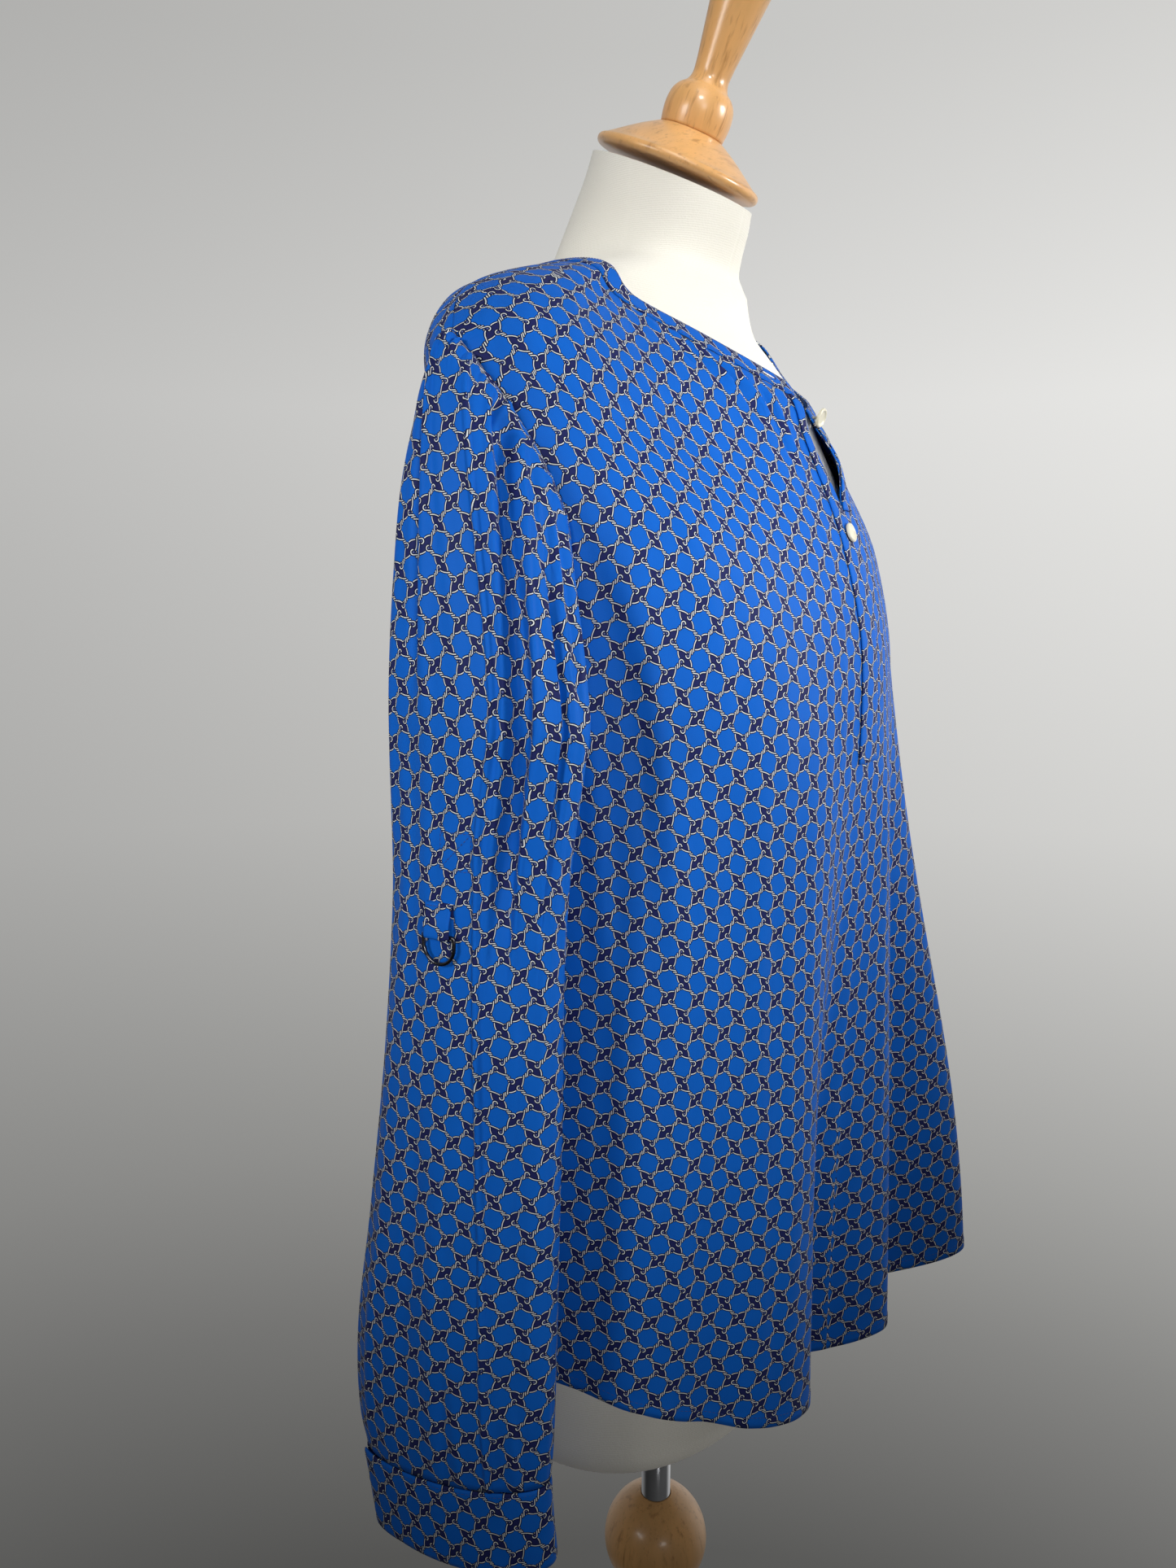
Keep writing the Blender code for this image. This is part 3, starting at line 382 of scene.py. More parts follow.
def along(rows, column, where):
    """Smooth values of a table's column at places given in its first column."""
    xs = rows[:, 0]
    ys = rows[:, column]
    rise = np.diff(ys) / np.diff(xs)
    slope = np.concatenate((rise[:1], 0.5 * (rise[1:] + rise[:-1]), rise[-1:]))
    where = np.clip(where, xs[0], xs[-1])
    i = np.clip(np.searchsorted(xs, where, side="right") - 1, 0, len(xs) - 2)
    h = xs[i + 1] - xs[i]
    t = (where - xs[i]) / h
    start = (2 * t ** 3 - 3 * t ** 2 + 1) * ys[i] + (t ** 3 - 2 * t ** 2 + t) * h * slope[i]
    end = (3 * t ** 2 - 2 * t ** 3) * ys[i + 1] + (t ** 3 - t ** 2) * h * slope[i + 1]
    return start + end


def unit(vectors):
    """Vectors scaled to length one."""
    return vectors / np.maximum(np.linalg.norm(vectors, axis=-1, keepdims=True), 1e-12)


def lengths(points, axis=0):
    """Distances between neighbouring points."""
    return np.linalg.norm(np.diff(points, axis=axis), axis=-1)


def running(steps, axis=0):
    """Running total of steps along an axis, starting from nought."""
    total = np.cumsum(steps, axis=axis)
    return np.concatenate((np.zeros_like(np.take(total, [0], axis=axis)), total), axis=axis)


def run_length(points):
    """Distance of each point from the first, along the line."""
    return running(lengths(points))


def blend(start, end, share):
    """Value between start and end by its share of the way."""
    return start + (end - start) * share


def bell(value, width):
    """Smooth bump, 1 at nought and nearly 0 at twice the width."""
    return np.exp(-(value / width) ** 2)


def turn_from(middle, angle):
    """Signed angle from the middle, between -180 and 180 degrees."""
    return (angle - middle + 180.0) % 360.0 - 180.0


def oval(half, front, back, square, behind, angle):
    """Points of a squared oval, measured from centre front."""
    s = np.sin(np.radians(angle))
    c = np.cos(np.radians(angle))
    power = 2.0 / square
    depth = np.where(c >= 0, front + behind, back - behind)
    x = half * np.sign(s) * np.abs(s) ** power
    return x, behind - np.sign(c) * depth * np.abs(c) ** power


def body_oval(columns, drop, angle):
    """Points of the form's or the cloth's section, and its half width and depth there."""
    half, front, back, square, behind = (along(SECTIONS, k, drop) for k in columns)
    x, y = oval(half, front, back, square, behind, angle)
    return x, y, half, np.where(y < 0, front, back)


def flute(angle, drop):
    """How far the skirt's folds stand out."""
    grow = smooth(0.20, 0.70, drop) ** 0.9 * 1.12
    total = 0.0
    for middle, spread, height in FLUTES:
        width = spread * (1.0 + 0.25 * (1.0 - np.minimum(1.0, grow)))
        total = total + height * bell(turn_from(middle, angle), width)
    return total * grow


def hollow(angle, drop):
    """Shallow hollow of the chest under each collar bone."""
    turn = np.abs(turn_from(0.0, angle))
    deep = HOLLOW_DEPTH * smooth(0.0, 0.032, drop) * (1.0 - smooth(0.080, 0.165, drop))
    return deep * bell(turn - HOLLOW_ANGLE, 20.0)


def slip(angle, drop):
    """How far the unbuttoned left side of the neck has slipped down."""
    fall = smooth(0.0, 1.5, angle) * bell(angle - 24.0, 34.0)
    return LEFT_SLIP * fall * (1.0 - smooth(0.075, OPENING_END_DROP, drop))


def lift(angle, drop):
    """The edges of the opening stand off the chest: the band's end and the left placket."""
    fall = bell(angle, 9.0)
    near = 0.004 * fall * (1.0 - smooth(0.078, 0.098, drop))
    far = 0.0065 * fall * smooth(0.084, 0.110, drop) * (1.0 - smooth(0.108, OPENING_END_DROP, drop))
    return np.where(angle < 0.0, near, far)


def cloth(angle, drop):
    """Inner face of the cloth at angles and drops."""
    angle, drop = np.broadcast_arrays(np.asarray(angle, float), np.asarray(drop, float))
    drop = drop + slip(angle, drop)
    x, y, half, depth = body_oval(CLOTH_COLUMNS, drop, angle)
    z = NECK_POINT_Z - drop + 0.0013 * (1.0 - smooth(0.030, 0.110, drop))
    stand = flute(angle, drop) + lift(angle, drop)
    across = unit(np.stack((x / half ** 2, y / depth ** 2, np.zeros_like(x)), -1))
    radial = unit(np.stack((x, y, np.zeros_like(x)), -1))
    place = np.stack((x, y + hollow(angle, drop), z), -1)
    return place + unit(across + radial) * stand[..., None]


def cloth_out(angle, drop, out):
    """Cloth points moved out along the surface normal."""
    here = cloth(angle, drop)
    turn = cloth(angle + 0.4, drop) - cloth(angle - 0.4, drop)
    down = cloth(angle, drop + 0.0008) - cloth(angle, drop - 0.0008)
    normal = unit(np.cross(turn, down))
    outward = here * (1.0, 1.0, 0.0) + (0.0, 0.0, 0.02)
    sign = np.sign(np.sum(normal * outward, axis=-1, keepdims=True))
    return here + normal * sign * out


def angle_at(x, drop):
    """Angle round the front whose point on the cloth lies at this x."""
    half = along(SECTIONS, 4, drop)
    square = along(SECTIONS, 7, drop)
    share = np.minimum(1.0, np.abs(x) / half) ** (square / 2.0)
    return np.sign(x) * np.degrees(np.arcsin(share))


def neck_drop(angle):
    """Drop of the neckband's free edge."""
    turn = np.abs(angle)
    front = 0.003 + 0.068 * np.maximum(0.0, np.exp(-(turn / 38.0) ** 1.25) - 0.0296)
    back = 0.003 + 0.010 * smooth(NECK_SEAM_ANGLE, 180.0, turn)
    return np.where(turn <= NECK_SEAM_ANGLE, front, back)


def band_seam_drop(angle):
    """Drop of the seam between the neckband and the panels."""
    turn = np.abs(angle)
    front = 0.0105 - 0.0060 * smooth(10.0, 60.0, turn)
    back = 0.0045 + 0.0040 * smooth(NECK_SEAM_ANGLE, 160.0, turn)
    return neck_drop(angle) + np.where(turn > NECK_SEAM_ANGLE, back, front)


def panel_top(angle):
    """Upper edge of the panels, just clear of the neckband."""
    return band_seam_drop(angle) + 0.0006 + 0.0005 * (1.0 - smooth(5.0, 60.0, np.abs(angle)))


def hem_drop(angle):
    """Shirt-tail hem: low in front and behind, high at the sides."""
    turn = np.abs(angle)
    front = blend(HEM_SIDE_DROP, HEM_FRONT_DROP, 1.0 - smooth(8.0, 86.0, turn))
    back = blend(HEM_SIDE_DROP, HEM_BACK_DROP, smooth(94.0, 160.0, turn))
    return np.where(turn <= 90.0, front, back)


def shoulder_angle(drop):
    """Where the shoulder seam runs, a little behind the shoulder's ridge."""
    return blend(SEAM_ANGLE, NECK_SEAM_ANGLE, 1.0 - smooth(0.020, 0.060, drop))


def seam_half(drop):
    """Half the gap of a side or shoulder seam, as an angle round the body."""
    return np.degrees(SEAM_GAP / (along(SECTIONS, 6, drop) - along(SECTIONS, 8, drop)))


def opening_half(drop):
    """Half width of the neck opening between the two placket edges."""
    return 0.0006 + 0.0080 * (1.0 - smooth(0.098, OPENING_END_DROP, drop)) ** 0.9


def opening_angle(drop):
    """Angle of the opening's edge, or of centre front below the opening."""
    return np.abs(angle_at(opening_half(drop), drop))


def side_edge(column):
    """Outer edge of a panel as rows of share, angle and drop: seam, armhole, side."""
    sign = -1.0 if column == 1 else 1.0
    edge = [(NECK_SEAM_ANGLE + sign * seam_half(0.0), float(panel_top(NECK_SEAM_ANGLE)))]
    for drop in (0.020, 0.033, 0.047):
        edge.append((shoulder_angle(drop) + sign * seam_half(drop), drop))
    for drop in (0.062, 0.077, 0.098, 0.130, 0.163, 0.190, 0.205, UNDERARM_DROP):
        edge.append((along(ARMHOLE, column, drop) + sign * seam_half(drop), drop))
    low = float(hem_drop(SEAM_ANGLE))
    for share in np.linspace(0.0, 1.0, 9)[1:]:
        drop = blend(UNDERARM_DROP, low, share)
        edge.append((SEAM_ANGLE + sign * seam_half(drop), drop))
    shares = np.linspace(0.0, 1.0, len(edge))
    return np.array([(t, a, d) for t, (a, d) in zip(shares, edge)])


def panel_half(front, s, t):
    """Angle and drop on half of a panel; s runs to the side, t down to the hem."""
    edge = side_edge(1 if front else 2)
    middle, middle_hem, bend = (0.0, HEM_FRONT_DROP, 0.45) if front else (180.0, HEM_BACK_DROP, 0.4)
    top = panel_top(middle)
    near_drop = blend(top, middle_hem, (1.0 - bend) * t + bend * t * t)
    near_angle = opening_angle(near_drop) if front else middle
    angle = blend(near_angle, along(edge, 1, t), s)
    share = 0.5 * smooth(0.0, 1.0, s) + 0.5 * s
    start = blend(top, panel_top(NECK_SEAM_ANGLE), share)
    hem = blend(middle_hem, hem_drop(SEAM_ANGLE), share)
    drop = blend(near_drop, along(edge, 2, t), share)
    drop = drop + (panel_top(angle) - start) * (1.0 - t) ** 2.2
    return angle, drop + (hem_drop(angle) - hem) * t ** 3


def creases(table, angle, drop, metres_per_degree):
    """Height of the listed creases at angles and drops."""
    total = np.zeros(np.broadcast(angle, drop).shape)
    for a0, d0, a1, d1, width, height in table:
        t = (drop - d0) / (d1 - d0)
        away = turn_from(blend(a0, a1, t), angle) * metres_per_degree
        fade = smooth(-0.12, 0.16, t) * (1.0 - smooth(0.72, 1.12, t))
        total = total + MM * height * fade * bell(away, MM * width)
    return total


def pleats(table, angle, drop, metres_per_degree):
    """Height of pleats that hang open: a flat-bottomed recess between two proud edges."""
    total = np.zeros(np.broadcast(angle, drop).shape)
    for width, deep, lip, fades, path in table:
        drops, turns = zip(*path)
        away = np.abs(angle - np.interp(drop, drops, turns)) * metres_per_degree / (MM * width)
        fade = smooth(drops[0], drops[0] + fades[0], drop)
        fade = fade * (1.0 - smooth(drops[-1] - fades[1], drops[-1], drop))
        shape = lip * bell(away - 1.22, 0.26) - deep * np.exp(-away ** 5)
        total = total + MM * shape * fade
    return total


def ease_cut(cut, plain, shaped, middle, closed=False):
    """Flat cut widened by the cloth that folds take up, from the middle column out."""
    if closed:
        plain = np.concatenate((plain, plain[:, :1]), axis=1)
        shaped = np.concatenate((shaped, shaped[:, :1]), axis=1)
    run = running(lengths(shaped, 1) - lengths(plain, 1), 1)
    return cut + flat_places(run - run[:, middle:middle + 1], 0.0)


def ripple(angle, drop, seed):
    """Very slight unevenness of hanging silk."""
    wave = np.sin(angle * 0.21 + seed) * np.sin(drop * 23.0 + 1.7 * seed)
    wave = wave + 0.6 * np.sin(angle * 0.47 + 9.0 * drop + seed * 2.3)
    wave = wave + 0.35 * np.sin(angle * 0.9 - 14.0 * drop + seed)
    return 0.00035 * wave


# ---------------------------------------------------------------- flat cut
def flat_places(across, down):
    """Places on the flat cut from distances across and down it."""
    return np.stack(np.broadcast_arrays(across, down), -1)


def flatten(points, middle):
    """Flat layout of a cloth grid that keeps its edge lengths.

    The two columns that flank the middle place stay on the straight grain.
    """
    before, after = middle
    x = running(lengths(points, 1), 1)
    x = x - 0.5 * (x[:, before] + x[:, after])[:, None]
    fall = running(lengths(points))
    top = points[0, after, 2] - points[0, :, 2]
    flat = flat_places(x, 0.5 * (fall + top) + 0.5 * fall[:, after:after + 1])
    rows, cols = points.shape[:2]
    pairs = []
    for di, dj in ((0, 1), (1, 0), (1, 1), (1, -1)):
        first = (slice(0, rows - di), slice(max(0, -dj), cols - max(0, dj)))
        second = (slice(di, rows), slice(max(0, dj), cols - max(0, -dj)))
        pairs.append((first, second, np.linalg.norm(points[second] - points[first], axis=-1)))
    for _ in range(FLATTEN_STEPS):
        move = np.zeros_like(flat)
        count = np.zeros((rows, cols))
        for first, second, rest in pairs:
            line = flat[second] - flat[first]
            length = np.maximum(np.linalg.norm(line, axis=-1), 1e-9)
            pull = line * (0.5 * (length - rest) / length)[..., None]
            move[first] += pull
            move[second] -= pull
            count[first] += 1.0
            count[second] += 1.0
        flat += 1.7 * move / count[..., None]
        drift = 0.5 * (flat[:, before, 0] + flat[:, after, 0])
        flat[:, before, 0] -= drift
        if after != before:
            flat[:, after, 0] -= drift
    flat[..., 1] -= flat[0, after, 1]
    return flat


def stretch(coarse, s, t, fine_s, fine_t):
    """Coarse grid values read at fine columns and rows."""
    parts = []
    for k in range(coarse.shape[-1]):
        wide = np.array([np.interp(fine_s, s, row) for row in coarse[..., k]])
        parts.append(np.array([np.interp(fine_t, t, column) for column in wide.T]).T)
    return np.stack(parts, -1)


# ---------------------------------------------------------------- meshes
def outward_normals(grid):
    """Unit normals of a grid of points, pointing away from the pole."""
    normal = unit(np.cross(np.gradient(grid, axis=1), np.gradient(grid, axis=0)))
    return normal * np.sign(np.mean(np.sum(normal * (grid * (1.0, 1.0, 0.0)), axis=-1)))


def new_mesh(name, verts, faces):
    """Smooth-shaded mesh of points and faces."""
    mesh = bpy.data.meshes.new(name)
    mesh.from_pydata(verts, [], faces)
    mesh.shade_smooth()
    return mesh


def sheet_mesh(name, grid, uv, outward, closed=False, skip=None):
    """Quad mesh over a grid, with its flat cut as the UV map, facing outward."""
    rows, cols = grid.shape[:2]
    count = cols if closed else cols - 1
    i, j = np.meshgrid(np.arange(rows - 1), np.arange(count), indexing="ij")
    if skip is not None:
        keep = ~skip(i, j)
        i, j = i[keep], j[keep]
    i, j = i.ravel(), j.ravel()
    corners = quad_corners(i, j, (j + 1) % cols, cols)
    corner_uv = quad_corners(i, j, j + 1, uv.shape[1])
    p = grid.reshape(-1, 3)
    n = np.cross(p[corners[:, 1]] - p[corners[:, 0]], p[corners[:, 3]] - p[corners[:, 0]])
    if np.sum(n * outward.reshape(-1, 3)[corners[:, 0]]) < 0:
        corners = corners[:, ::-1]
        corner_uv = corner_uv[:, ::-1]
    mesh = new_mesh(name, p.tolist(), corners.tolist())
    layer = mesh.uv_layers.new(name="cut")
    flat_uv = uv.reshape(-1, 2)[corner_uv.reshape(-1)]
    layer.data.foreach_set("uv", flat_uv.astype(np.float32).ravel())
    clean = bmesh.new()
    clean.from_mesh(mesh)
    bmesh.ops.delete(clean, geom=[v for v in clean.verts if not v.link_faces], context="VERTS")
    clean.to_mesh(mesh)
    clean.free()
    return mesh


def quad_corners(i, j, k, cols):
    """Corner numbers of the quads between columns j and k of a grid, row by row."""
    return np.stack((i * cols + j, i * cols + k, (i + 1) * cols + k, (i + 1) * cols + j), -1)


def add_tube(verts, faces, rings):
    """Add a closed tube through rings of points to lists of points and faces."""
    first = len(verts)
    count = len(rings[0])
    for ring in rings:
        verts.extend(tuple(p) for p in ring)
    last = len(verts) - count
    for low in range(first, last, count):
        for m in range(count):
            n = (m + 1) % count
            faces.append((low + m, low + n, low + n + count, low + m + count))
    faces.append(tuple(range(first, first + count))[::-1])
    faces.append(tuple(range(last, last + count)))


def ring_round(centre, across, up, count):
    """Ring of points round a centre, with its two radii given as vectors."""
    turn = np.radians(np.arange(count) * 360.0 / count)[:, None]
    return centre + across * np.cos(turn) + up * np.sin(turn)


def new_object(name, data):
    """Object in the scene for a mesh, curve, light or camera."""
    item = bpy.data.objects.new(name, data)
    bpy.context.scene.collection.objects.link(item)
    return item


def add_piece(name, mesh, material, body=GARMENT, nodes=()):
    """Link a piece, give it its finish and let it ride on its body."""
    item = new_object(name, mesh)
    mesh.materials.append(material)
    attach(item, body)
    if nodes:
        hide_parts(*nodes)
    return item


def add_cloth(node, grid, uv, outward, material, thick, closed=False, skip=None):
    """Silk shell that stands for a CAD node, with its thickness outward."""
    name = node + "_silk"
    mesh = sheet_mesh(name, grid, uv, outward, closed, skip)
    item = add_piece(name, mesh, material, nodes=(node,))
    solid = item.modifiers.new("wall", "SOLIDIFY")
    solid.thickness = thick
    solid.offset = 1.0
    solid.use_even_offset = False
    solid.use_rim = True
    return item


def both_sides(shares, split):
    """Shares from one side of a panel to the other, minus on the viewer's left."""
    right = shares + (SPLIT_SHARE if split else 0.0)
    left = -right[::-1]
    return np.concatenate((left if split else left[:-1], right))


def panel_places(front, across, down):
    """Angle and drop over a whole panel, from the viewer's left to right."""
    side = np.sign(across) if front else -np.sign(across)
    share = np.abs(across) - (SPLIT_SHARE if front else 0.0)
    angle, drop = panel_half(front, share[None, :], down[:, None])
    side = np.where(side == 0.0, 1.0, side)
    return side[None, :] * angle, drop


def panel_rows(count):
    """Shares from the neck to the hem, closer together at both edges."""
    main = np.linspace(0.0, 1.0, count)
    extra = np.array((0.004, 0.008, 0.984, 0.9895, 0.9925, 0.9965))
    return np.sort(np.concatenate((main, extra)))


def build_panel(node, material, thread, shares, rows):
    """Front or back panel, with the front's slit left open."""
    split = node == "blouse_front"
    columns = len(shares)
    coarse_across = both_sides(np.linspace(0.0, 1.0, 41), split)
    coarse_down = np.linspace(0.0, 1.0, 49)
    middle = (40, 41) if split else (40, 40)
    cut = flatten(cloth(*panel_places(split, coarse_across, coarse_down)), middle)
    across = both_sides(shares, split)
    down = panel_rows(rows)
    uv = stretch(cut, coarse_across, coarse_down, across, down)
    angle, drop = panel_places(split, across, down)
    grid = cloth(angle, drop)
    left = outward_normals(grid[:, :columns])
    right = outward_normals(grid[:, -columns:])
    normal = np.concatenate((left, right if split else right[:, 1:]), axis=1)
    height = creases(BODY_CREASES, angle, drop, BODY_METRES_PER_DEGREE) + ripple(angle, drop, 1.0)
    height *= smooth(-0.012, 0.018, drop - panel_top(angle))
    if split:
        height *= smooth(0.0, 0.06, np.abs(across) - SPLIT_SHARE)[None, :]
    hem = hem_drop(angle) - drop
    height = np.maximum(height, -0.0016) + EDGE_ROLL * (1.0 - smooth(0.0062, 0.0074, hem))
    plain = grid + normal * LAYER
    grid = plain + normal * height[..., None]
    uv = ease_cut(uv, plain, grid, columns if split else columns - 1)
    slit_rows = (drop[:, columns - 1] < PLACKET_END_DROP - 0.012) & split

    def skip(i, j):
        """Whether a quad lies in the slit."""
        return (j == columns - 1) & slit_rows[i]

    item = add_cloth(node, grid, uv + PRINT_SHIFT, normal, material, LAYER, skip=skip)
    add_stitches(node + "_hem_stitches", edge_line(grid, normal, 0.0065, LAYER + 0.0001), normal[-2], thread)


def build_neckband(material, thread):
    """Narrow doubled band round the neck, open at centre front."""
    start = float(opening_angle(0.075))
    half = np.concatenate((np.linspace(start, 92.0, 110), np.linspace(92.0, 180.0, 80)[1:]))
    angle = np.concatenate((half, 360.0 - half[::-1][1:]))
    turn = np.where(angle <= 180.0, angle, angle - 360.0)
    share = np.linspace(0.0, 1.0, 9)[:, None]
    drop = blend(neck_drop(turn)[None, :], band_seam_drop(turn)[None, :] + 0.0002, share)
    grid = cloth_out(turn[None, :], drop, LAYER)
    normal = outward_normals(grid)
    crown = 0.0005 * (1.0 - (2.0 * share - 1.0) ** 4)
    pucker = 0.00022 * np.sin(angle * 2.6)[None, :] * share ** 2
    grid = grid + normal * (crown + pucker)[..., None]
    width = np.linalg.norm(grid[-1] - grid[0], axis=-1)
    uv = flat_places(run_length(grid[4]), share * width[None, :])
    item = add_cloth("neckband", grid, uv + (0.006, 0.004), normal, material, BAND_THICK)
    hole = int(np.argmin(np.abs(turn + BAND_HOLE_TURN)))
    across = unit(grid[4, hole + 1] - grid[4, hole - 1])
    add_buttonhole("neckband_buttonhole", grid[4, hole], normal[4, hole], across, 0.0010, thread, 0.0052)
    add_slot("neckband_buttonhole_slot", grid[4, hole] + normal[4, hole] * 0.0009, normal[4, hole], across)
    low = edge_line(grid, normal, 0.0012, 0.0008)
    high = edge_line(grid[::-1], normal[::-1], 0.0012, 0.0008)
    add_stitches("neckband_seam_stitches", low, normal[-2], thread, 0.0016)
    add_stitches("neckband_edge_stitches", high, normal[1], thread, 0.0016)


def add_strip(node, drops, left, right, material):
    """Placket strip on the front between two x limits at each drop."""
    first = drops[0]
    share = np.linspace(0.0, 1.0, 13)[None, :]
    x = blend(left[:, None], right[:, None], share)
    fade = np.maximum(0.0, 1.0 - (drops - first) / 0.040)[:, None] ** 2
    drop = drops[:, None] + (panel_top(angle_at(x, drops[:, None])) + 0.0004 - first) * fade
    grid = cloth_out(angle_at(x, drop), drop, CLOTH + SEAM_GAP)
    normal = outward_normals(grid)
    edge = np.minimum(share, 1.0 - share) * 0.016
    puff = 0.00035 * (1.0 - bell(edge, 0.0012))
    pucker = 0.00016 * np.sin(drops * 1500.0)[:, None] * bell(edge - 0.002, 0.0012)
    grid = grid + normal * (puff + pucker)[..., None]
    return add_cloth(node, grid, flat_places(x, drop) + PRINT_SHIFT, normal, material, STRIP_THICK)


def build_plackets(material):
    """Right placket lapped over the front, and the left one standing open."""
    top = float(band_seam_drop(0.0)) + 0.0009
    drops = np.linspace(top, PLACKET_END_DROP, 90)
    step = smooth(OPENING_END_DROP, OPENING_END_DROP + 0.03, drops)
    free = np.where(drops > OPENING_END_DROP, PLACKET_FAR * step - 0.0008, -opening_half(drops) - 0.0002)
    item = add_strip("placket_right", drops, np.full_like(drops, -PLACKET_NEAR), free, material)
    drops = np.linspace(top, OPENING_END_DROP - 0.004, 40)
    far = np.full_like(drops, PLACKET_NEAR + 0.003)
    item = add_strip("placket_left", drops, opening_half(drops) + 0.0002, far, material)


# ---------------------------------------------------------------- sleeves
def sleeve_ring(side, drop, turn, out=0.0):
    """Level section of a sleeve, from its outermost point round by the front."""
    x, y, deep, wide, slope = (along(SLEEVES, k, drop) for k in (1, 2, 3, 4, 5))
    a = np.radians(turn)
    px = x + (deep + out) * np.cos(a)
    py = y - (wide + out) * np.sin(a)
    return np.stack((side * px, py, NECK_POINT_Z - drop - slope * (py - y)), -1)


def armhole_ring(side, turn):
    """Armhole edge of the sleeve, just outside the panels' edges."""
    turn = turn % 360.0
    share = 0.5 - 0.5 * np.cos(np.radians(turn))
    drop = blend(SHOULDER_TIP_DROP, UNDERARM_DROP, share)
    angle = np.where(turn <= 180.0, along(ARMHOLE, 1, drop), along(ARMHOLE, 2, drop))
    p = cloth(side * angle, drop)
    centre = p * (0.0, 0.0, 1.0) + (side * 0.150, 0.0, 0.0)
    return p + unit(p - centre) * 0.0006 + (side * 0.0006, 0.0, 0.0)


def sleeve_grid(side, turn, cap_steps, drops):
    """Sleeve points from the armhole to the cuff seam, and the drop of each row."""
    start = armhole_ring(side, turn)
    end = sleeve_ring(side, np.full_like(turn, SLEEVE_TOP_DROP), turn)
    c = np.cos(np.radians(turn))
    s = np.sin(np.radians(turn))
    leave = np.stack((side * (0.062 + 0.034 * c), -0.034 * s, 0.012 * c - 0.030 * (1.0 - c)), -1)
    leave = leave * (0.35 + 0.65 * (0.5 + 0.5 * c))[:, None]
    arrive = np.stack((0.0 * c, 0.0 * c, -0.13 * (0.55 + 0.45 * c)), -1)
    t = cap_steps[:, None, None]
    cap = start * (2 * t ** 3 - 3 * t ** 2 + 1) + leave * (t ** 3 - 2 * t ** 2 + t)
    cap = cap + end * (3 * t ** 2 - 2 * t ** 3) + arrive * (t ** 3 - t ** 2)
    low = sleeve_ring(side, drops[1:, None], turn[None, :])
    rows = blend(SHOULDER_TIP_DROP, SLEEVE_TOP_DROP, cap_steps)
    return np.concatenate((cap, low)), np.concatenate((rows, drops[1:]))


def build_sleeve(side, label, table, folds, material):
    """Sleeve with its cap pleats, its crease and the gathers at the cuff."""
    cap_steps = np.linspace(0.0, 1.0, 61)
    drops = np.linspace(SLEEVE_TOP_DROP, CUFF_SEAM_DROP - 0.0004, 101)
    turn = np.concatenate((np.linspace(-180.0, 6.0, 104), np.linspace(6.0, 66.0, 81)[1:],
                           np.linspace(66.0, 180.0, 64)[1:]))
    grid, rows = sleeve_grid(side, turn, cap_steps, drops)
    coarse_turn = np.linspace(-180.0, 180.0, 65)
    coarse, coarse_rows = sleeve_grid(side, coarse_turn, cap_steps[::4], drops[::5])
    uv = stretch(flatten(coarse, (32, 32)), coarse_turn, coarse_rows, turn, rows)
    ring = grid[:, :-1]
    normal = ring_normals(ring, side)
    here = (turn[None, :-1], rows[:, None])
    height = creases(table, *here, SLEEVE_METRES_PER_DEGREE)
    height = height + ripple(here[0] * 0.6, here[1], 3.0 + side)
    height = height + cap_pleats(*here, SLEEVE_METRES_PER_DEGREE)
    height = height + pleats(folds, *here, SLEEVE_METRES_PER_DEGREE)
    settle = smooth(0.0, 0.012, rows - SHOULDER_TIP_DROP + 0.004) * (1.0 - smooth(0.662, 0.668, rows))
    plain = ring + normal * LAYER
    ring = plain + normal * (height * settle[:, None])[..., None]
    uv = ease_cut(uv, plain, ring, int(np.argmin(np.abs(turn))), closed=True)
    if side > 0:
        uv = uv * (-1.0, 1.0)
    item = add_cloth("sleeve_" + label, ring, uv, normal, material, LAYER, closed=True)


def ring_normals(ring, side):
    """Outward normals of a closed grid."""
    turn = np.roll(ring, -1, axis=1) - np.roll(ring, 1, axis=1)
    down = np.gradient(ring, axis=0)
    normal = unit(np.cross(turn, down))
    sign = np.sign(np.sum(normal[-20, 100] * (side, 0.0, 0.0)))
    return normal * sign


def cap_pleats(turn, rows, scale):
    """Short uneven pleats where the cap is eased into the armhole."""
    total = 0.0
    places = (-46.0, -31.0, -14.0, 6.0, 21.0, 33.0, 44.0, 57.0, 71.0, 84.0, 97.0)
    fades = (0.020, 0.030, 0.024, 0.034, 0.026, 0.038, 0.022, 0.034, 0.026, 0.030, 0.018)
    for k, (place, length) in enumerate(zip(places, fades)):
        away = (turn - place + 90.0 * (rows - SHOULDER_TIP_DROP)) * scale * 1.7
        shape = bell(away - 0.0011, 0.0016) - 0.8 * bell(away + 0.0014, 0.0014)
        fade = bell(rows - SHOULDER_TIP_DROP, length)
        total = total + (0.0013 + 0.0004 * math.sin(2.1 * k)) * shape * fade
    return total


